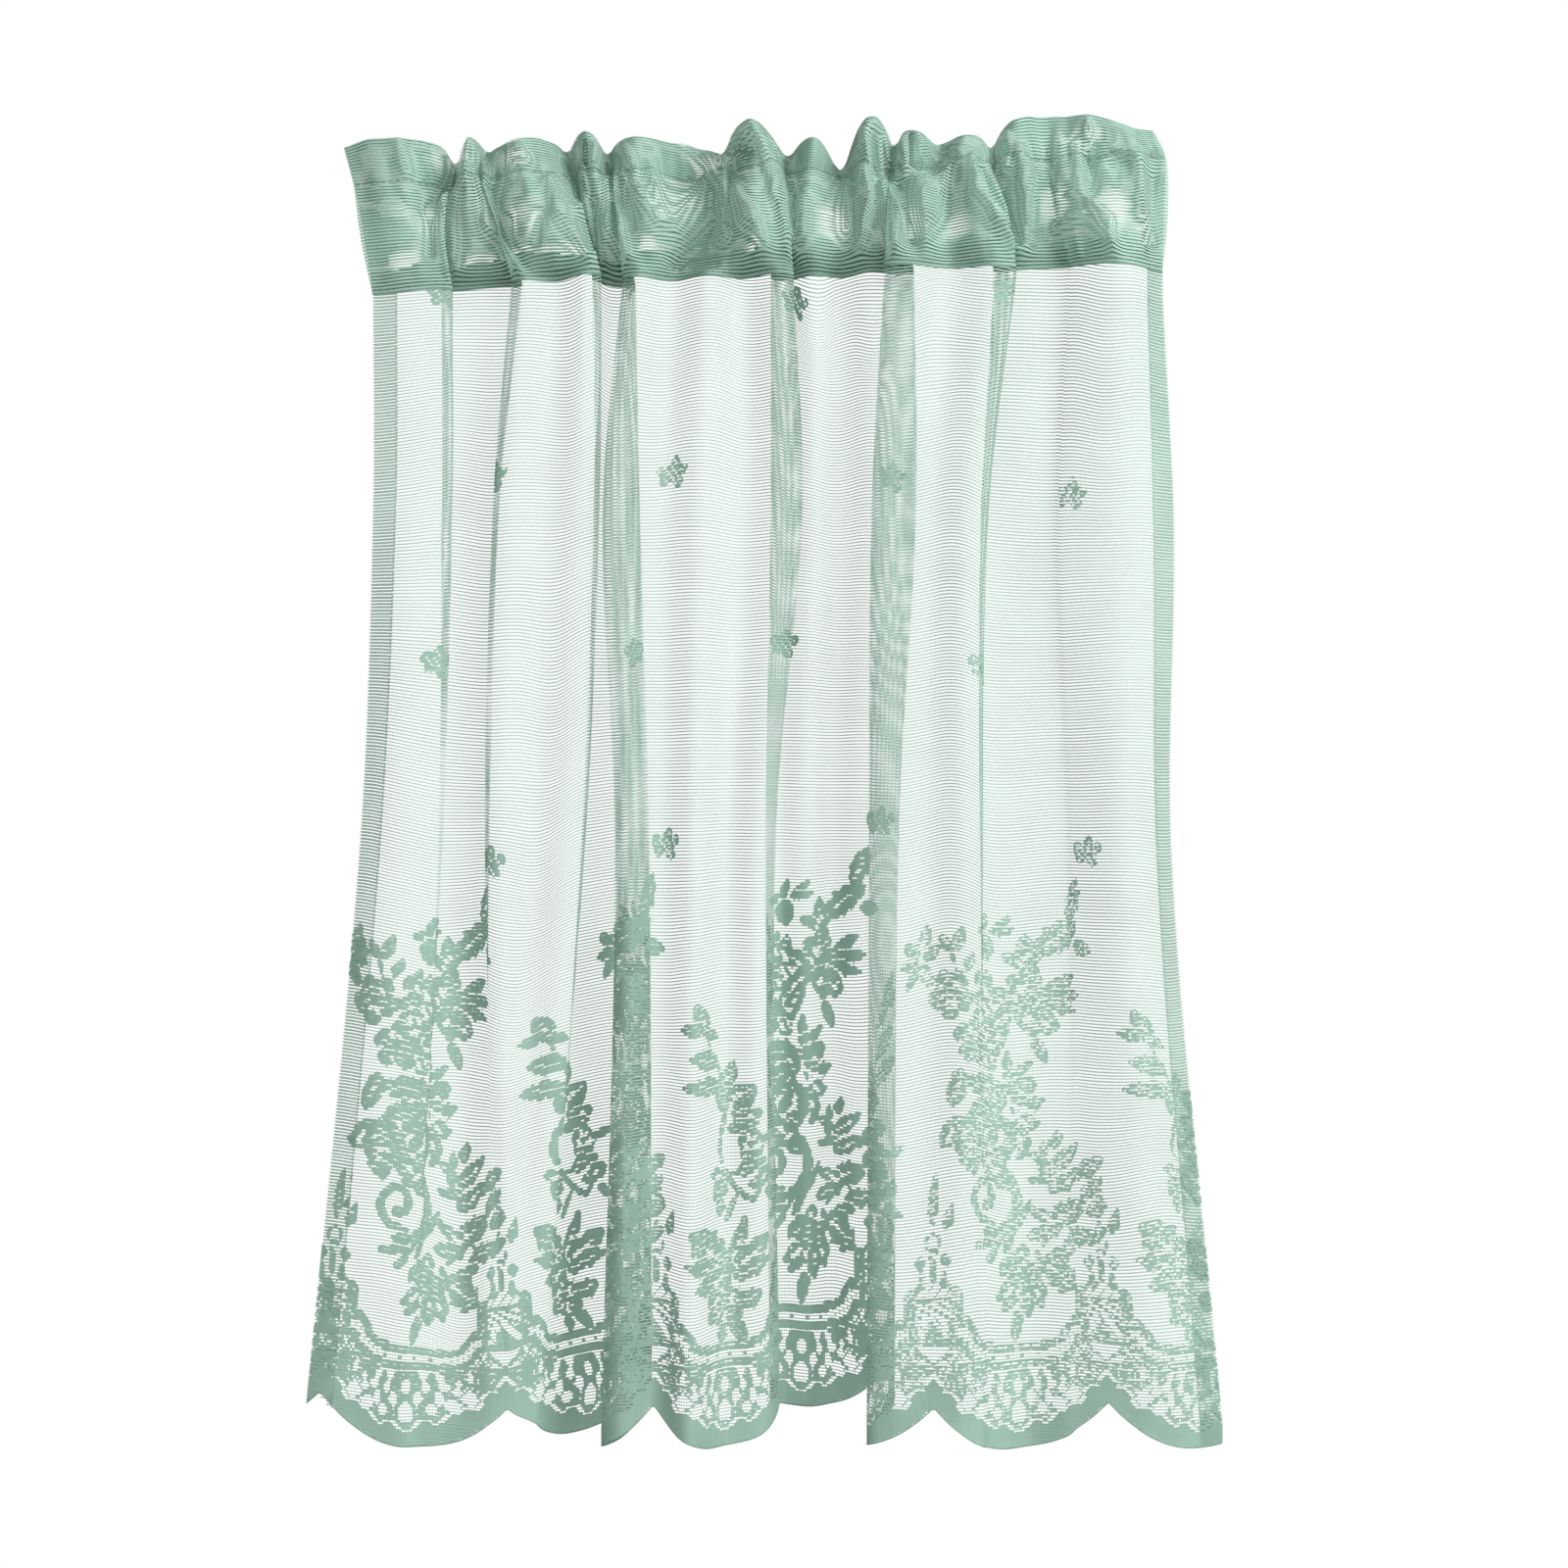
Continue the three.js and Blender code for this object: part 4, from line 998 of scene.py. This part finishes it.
# The pocket's wrinkles: both ends of each, across and up, then its half width and height
wrinkles = np.array([
    (-147, 27, -158, 9, 3.1, -4.4), (-158, 9, -158, -12, 3.1, -3.3), (-140, 24, -150, 11, 4.5, 4.4),
    (-150, 11, -147, -21, 5, 3.8), (-134, 19, -129, 0, 4.2, 5.6), (-129, 0, -117, -22, 4.2, 5.6),
    (-129, 18, -124, 0, 3.9, -3.9), (-124, 0, -113, -21, 3.9, -3.3), (-117, 31, -119, 23, 3.1, 3.1),
    (-101, 19, -96, 4, 4.5, 3.8), (-96, 4, -82, -19, 4.5, 3.8), (-94, 31, -89, 17, 3.1, -4.4),
    (-89, 17, -82, -12, 3.1, -4.4), (-88, 26, -86, 6, 4.2, 5.6), (-86, 6, -77, -22, 4.2, 5.6),
    (-82, 11, -80, -12, 2.8, -3.9), (-74, 19, -72, 0, 4.2, 5.6), (-72, 0, -67, -16, 4.5, 5.6),
    (-65, 23, -63, -2, 3.1, -3.9), (-68, 23, -59, 11, 3.9, 3.8), (-59, 11, -51, 0, 3.9, 3.1),
    (-55, 27, -48, 0, 3.9, 3.1), (-29, 23, -43, -2, 5.3, 3.8), (-20, 31, -21, -7, 3.9, 5.6),
    (-25, 2, -43, -16, 3.4, -4.4), (-18, 29, -19, 0, 2.8, -4.4), (-16, 14, -9, 0, 4.2, 4.4),
    (-9, 0, -2, -12, 4.2, 3.8), (2, 32, 5, 11, 4.2, 5.6), (5, 11, 10, -7, 4.2, 5.6),
    (12, 14, 12, -16, 3.4, -4.4), (-105, 2, -107, -8, 5, -2.8), (-121, 2, -124, -7, 4.2, -2.8),
    (14, 11, 13, -12, 5.3, 3.8), (36, 19, 37, -2, 4.2, 4.4), (40, 19, 40, -7, 2.8, -4.4),
    (43, 29, 44, 11, 4.5, 5.6), (44, 11, 42, -10, 5.3, 5.6), (50, 23, 49, 0, 3.1, -3.9),
    (54, 17, 58, 3, 4.5, 5.6), (58, 3, 58, -14, 4.5, 5), (61, 19, 67, -7, 3.4, -5),
    (72, 11, 73, -7, 3.9, 3.1), (74, 19, 75, 6, 4.2, 3.8), (87, 32, 79, 18, 4.2, 4.4),
    (79, 18, 76, 3, 4.5, 3.8), (95, 30, 98, 14, 3.9, 5), (98, 14, 107, 2, 3.9, 5),
    (107, 2, 117, -12, 3.9, 4.4), (99, 27, 106, 11, 3.1, -3.9), (106, 11, 118, -7, 3.1, -3.9),
    (111, 42, 111, 27, 3.1, 4.4), (117, 34, 121, 19, 4.5, 5.6), (121, 19, 121, -8, 4.2, 5.6),
    (124, 19, 123, -7, 3.1, -4.4), (142, 36, 144, 14, 5.3, 3.1), (148, 9, 155, -2, 3.9, 4.4),
    (155, -2, 159, -16, 3.9, 4.4), (151, 37, 149, 11, 3.9, -2.8), (161, 34, 173, 30, 3.1, 3.8),
    (174, 31, 174, 3, 5, 3.1), (179, 23, 179, -7, 4.2, -3.3), (135, -1, 145, 2, 3.9, 3.8),
    (-21, 43, -9, 41, 3.6, 5), (-9, 41, 2, 30, 3.8, 5), (-20, 37, -8, 33, 3.4, -4),
    (44, 30, 45, 44, 3.1, 4), (45, 44, 52, 47, 3.1, 3), (56, 44, 57, 30, 3.1, 4),
    (50.5, 41, 50.5, 30, 3.1, -4), (-142, 38, -145, 24, 3.1, 4), (-136, 38, -133, 22, 3.2, 4.5),
    (-91, 40, -90, 28, 3.2, 4), (-79, 42, -81, 27, 3.2, 4.5), (-85, 39, -85, 29, 3, -3.5),
    (-68, 38, -62, 24, 3.6, 3), (-40, 42, -28, 34, 3.6, 4), (-28, 34, -24, 22, 3.4, 4),
    (62, 42, 64, 26, 3.2, 4), (68, 40, 70, 26, 3.4, -3), (74, 38, 80, 28, 3.6, 3.5),
    (148, 50, 150, 36, 3, 4), (108, 44, 110, 34, 3.2, 4.5), (-119, 38, -112, 28, 3.6, 3),
    (-172, 40, -168, 24, 3.8, 3),
])


def relief(x, z):  # how far the wrinkles stand out from the pocket's front
    total = np.zeros(x.shape)
    for x0, z0, x1, z1, half, height in wrinkles:
        length = (x1 - x0) ** 2 + (z1 - z0) ** 2
        t = ((x - x0) * (x1 - x0) + (z - z0) * (z1 - z0)) / length
        near = np.clip(t, 0, 1)
        far = (x - x0 - (x1 - x0) * near) ** 2 + (z - z0 - (z1 - z0) * near) ** 2
        total += 1.75 * height * np.exp(-((far / (0.8 * half) ** 2 + 0.01) ** 0.7))
    return np.clip(total, -5, 8)


def hangHead(u, w, back=False):  # as hang, but w runs up from the lower seam; back is the hinder wall
    u, w = np.broadcast_arrays(np.asarray(u, float), np.asarray(w, float))
    share, base = np.clip(w / crownAt, 0, 1), 0 * w
    joined = (1 - np.clip(w / heading["joins"], 0, 1)) ** 2
    x, y = (
        sample(head[key], u, share) + (sample(panel[key], u, base) - sample(head[key], u, base)) * joined
        for key in ("x", "y")
    )
    seam, upper = seamAt(u), np.interp(x, *sewnLine.T)
    above, blur = sample(head["x"], u, 1 + base), heading["crownBlur"]
    crown = sum(np.interp(above + step, *crownLine.T) for step in (-blur, 0, blur)) / 3
    inRuffle = np.clip((w - heading["pocket"]) / heading["ruffle"], 0, 1)
    z = np.where(
        w < heading["pocket"], seam + (upper - seam) * w / heading["pocket"],
        upper + (crown - upper) * inRuffle,
    )
    along = u / heading["puckerLength"] + (40 if back else 0)
    i = np.clip(along.astype(int), 0, len(wrinkle) - 2)
    noise = wrinkle[i] + (wrinkle[i + 1] - wrinkle[i]) * (1 - np.cos(np.pi * (along - i))) / 2
    gathered = np.exp(-(((w - heading["pocket"]) / heading["gatherAbove"]) ** 2))
    gathered += 0.8 * np.exp(-((w / heading["gatherBelow"]) ** 2)) * (w > 3)
    y = y + heading["pucker"] * noise * gathered * np.clip(w / 6, 0, 1)
    inPocket = np.clip(w / heading["pocket"], 0, 1)
    swell = heading["rodRoom"] * np.sin(np.pi * inPocket) ** 0.8 + heading["slack"]
    if back:
        z += (0.7 + 0.6 * np.sin(u / 37)) * np.clip(w / 8, 0, 1) * np.clip((crownAt - w) / 6, 0, 1)
        y = y + swell * 0.9 + 0.4
    else:
        out = relief(x, z) * np.clip(w / 7, 0, 1) * np.clip((crownAt + 10 - w) / 20, 0, 1)
        z += heading["tilt"] * out * np.clip((crownAt - w) / 6, 0, 1)
        y = y - swell * 0.6 - out - heading["bulge"] * np.sin(np.pi * inRuffle)
    z += uneven(u, -w - 3) * np.clip(w / 5, 0, 1)
    return np.stack([x, y, z], axis=-1)


# Where the pocket is drawn thin and the light comes through: across, up, half width, half
# height, share
thinPlaces = np.array([
    (-113.4, 5.6, 7, 8, 0.5), (-170, -15, 8, 7, 0.4), (-172, 4, 5, 9, 0.2), (-113.4, -11.6, 10, 2.6, 0.45),
    (-135, -14, 9, 3.6, 0.45), (-94, -11.6, 9, 4.6, 0.45), (-160, 4, 5, 7, 0.3), (-56, -10, 4, 8, 0.4),
    (-45.5, 13.7, 14, 10, 0.25), (-117, 31, 7, 4, 0.35), (7.4, -17, 4, 6, 0.4), (-6.4, -10.5, 3, 6, 0.35),
    (30.4, 4.5, 8, 8, 0.5), (161.5, 9, 9, 9, 0.5), (-150, 33, 12, 4, 0.3), (66, 2, 6, 8, 0.3),
    (135, 14, 7, 8, 0.3), (88, 2, 6, 7, 0.3), (-30, 33, 12, 5, 0.3), (150, 42, 14, 5, 0.3),
    (176, 0, 5, 9, 0.3),
])


def fineness(place):  # how wide the heading's bars are there, as a share
    thin = np.ones(place.shape[:-1])
    for x, z, reachX, reachZ, share in thinPlaces:
        far = ((place[..., 0] - x) / reachX) ** 2 + ((place[..., 2] - z) / reachZ) ** 2
        thin -= share * np.exp(-(far**2))
    return np.clip(thin, 0.4, 1)


def headBars(name, walls, material):  # the heading's courses, as flat bars of yarn
    columns = np.arange(0, cloth["width"] + 0.1, heading["step"])
    parts = []
    for back, highest, shift, behind, (uLow, uHigh) in walls:
        line = columns[(columns >= uLow) & (columns <= uHigh)]
        u, w = np.meshgrid(line, np.arange(shift, highest, cloth["course"]))
        half = (heading["hinderHalf"] if back else heading["barHalf"]) * fineness(hangHead(u, w, back))
        top, bottom = hangHead(u, w + half, back), hangHead(u, w - half, back)
        for edge in (top, bottom):
            edge[..., 1] += behind
        wavy = highest if highest == crownAt else highest - 1.6 - 1.6 * np.sin(u / 9 + 2 * np.sin(u / 31))
        parts.append((*ribbons(top, bottom, (w < wavy)[:, 1:]), stripUv(u, -w - half, -w + half)))
    return addParts(name, parts, material)


# Each wall's bars: whether they follow the hinder wall, their upper edge, the first course's
# place, how far behind they lie, and their reach across
wholeWidth, leftTurn, rightTurn = (0, cloth["width"]), (0, leftSewn), (rightSewn, cloth["width"])
# The front wall takes the yarn with painted light; the hinder wall and the turned layers take the yarn with
# painted shade
frontWall = headBars("pocketFront", [(False, crownAt, 0.75, 0, wholeWidth)], paintedLitHeadYarn)
backWall = headBars("pocketBack", [
    (True, crownAt, 0.4, 0, wholeWidth),
    (True, heading["turnUnder"], 1.1, -0.8, wholeWidth),
    (True, heading["turnUnder"], 0.1, -1.4, wholeWidth),
    (False, crownAt, 1.2, 0.8, leftTurn),
    (False, crownAt, 1.2, 0.8, rightTurn),
], paintedShadeHinderYarn)
sewing = {"inset": 1.5, "pitch": 3.4, "stitch": 2.3, "half": 0.2, "proud": 0.45}


def stitchMesh(name, heights, material):  # lines of machine stitches along the heading's seams
    starts = np.arange(sewing["inset"], cloth["width"] - 2 * sewing["inset"], sewing["pitch"])[:, None]
    starts = starts + np.array([[0, sewing["stitch"]]])
    u = np.concatenate([starts] * len(heights))
    w = np.repeat(heights, len(starts))[:, None] + np.zeros((1, 2))
    top, bottom = hangHead(u, w + sewing["half"]), hangHead(u, w - sewing["half"])
    for edge in (top, bottom):
        edge[..., 1] -= sewing["proud"]
    return addMesh(name, *ribbons(top, bottom, np.ones((len(u), 1), bool)), stripUv(u, -w, -w), material)


stitches = stitchMesh("seamStitches", [1.6, heading["pocket"] + 0.4], edgeYarn)
print("heading", len(frontWall.data.polygons), len(backWall.data.polygons), len(stitches.data.polygons))

# The floor, in millimetres
room = {"half": 1700, "floor": -1100, "tone": 0.85, "roughness": 0.8}
paleFloor = bpy.data.materials.new("paleFloor")
paleFloor.use_nodes = True
paint = paleFloor.node_tree.nodes["Principled BSDF"]
paint.inputs["Base Color"].default_value = (room["tone"], room["tone"], room["tone"], 1)
paint.inputs["Roughness"].default_value = room["roughness"]
square = [(0, 0), (1, 0), (1, 1), (0, 1)]
floorCorners = [((2 * x - 1) * room["half"], (2 * y - 1) * room["half"], room["floor"]) for x, y in square]
floor = addMesh("floor", floorCorners, [(0, 1, 2, 3)], square, paleFloor, smooth=False)


def studioWorld():  # brighter from the front, and plain white where the camera looks past the cloth
    world = bpy.data.worlds.new("studio")
    world.use_nodes = True
    nodes, links = world.node_tree.nodes, world.node_tree.links
    background = nodes["Background"]
    background.inputs["Color"].default_value = (1, 1, 1, 1)
    facing = nodes.new("ShaderNodeSeparateXYZ")
    links.new(nodes.new("ShaderNodeTexCoord").outputs["Generated"], facing.inputs[0])
    softly = nodes.new("ShaderNodeMapRange")
    links.new(facing.outputs["Y"], softly.inputs["Value"])
    for socket, value in (("From Min", -0.8), ("From Max", 0.6), ("To Min", 0.55), ("To Max", 0.05)):
        softly.inputs[socket].default_value = value
    links.new(softly.outputs[0], background.inputs["Strength"])
    seen = nodes.new("ShaderNodeBackground")
    seen.inputs["Color"].default_value = (1, 1, 1, 1)
    seen.inputs["Strength"].default_value = 1
    path = nodes.new("ShaderNodeLightPath")
    choose = nodes.new("ShaderNodeMixShader")
    last = path.outputs["Is Camera Ray"]
    for ray in ("Is Glossy Ray", "Is Transmission Ray"):
        either = nodes.new("ShaderNodeMath")
        either.operation = "MAXIMUM"
        links.new(last, either.inputs[0])
        links.new(path.outputs[ray], either.inputs[1])
        last = either.outputs[0]
    links.new(last, choose.inputs[0])
    links.new(background.outputs[0], choose.inputs[1])
    links.new(seen.outputs[0], choose.inputs[2])
    links.new(choose.outputs[0], nodes["World Output"].inputs["Surface"])
    return world


def softbox(name, place, aim, size, power):  # a square lamp, in metres and watts
    light = bpy.data.lights.new(name, "AREA")
    light.shape, light.size, light.size_y, light.energy = "RECTANGLE", size, size, power
    obj = bpy.data.objects.new(name, light)
    scene.collection.objects.link(obj)
    obj.location = place
    direction = np.array(aim) - np.array(place)
    yaw, pitch = math.atan2(direction[1], direction[0]), math.atan2(direction[2], math.hypot(*direction[:2]))
    obj.rotation_euler = (math.pi / 2 + pitch, 0, yaw - math.pi / 2)


scene.world = studioWorld()
softbox("keyLight", (1.0, -1.15, 0.45), (0.05, 0, -0.3), 0.7, 30)
softbox("fillLight", (-0.5, -1.9, 0.2), (0, 0, -0.25), 1.2, 3)
softbox("backLight", (-0.6, 1.9, 0.5), (0, 0, -0.25), 1.6, 18)
scene.view_settings.view_transform = "Standard"

lacePieces = [
    upperBars, lowerBars, threads, hemEdge, hemBand, motif, sideHem, hemMotif, frontWall, backWall, stitches,
]
for piece in lacePieces:
    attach(piece, "root")
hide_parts("panel")
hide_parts("heading")
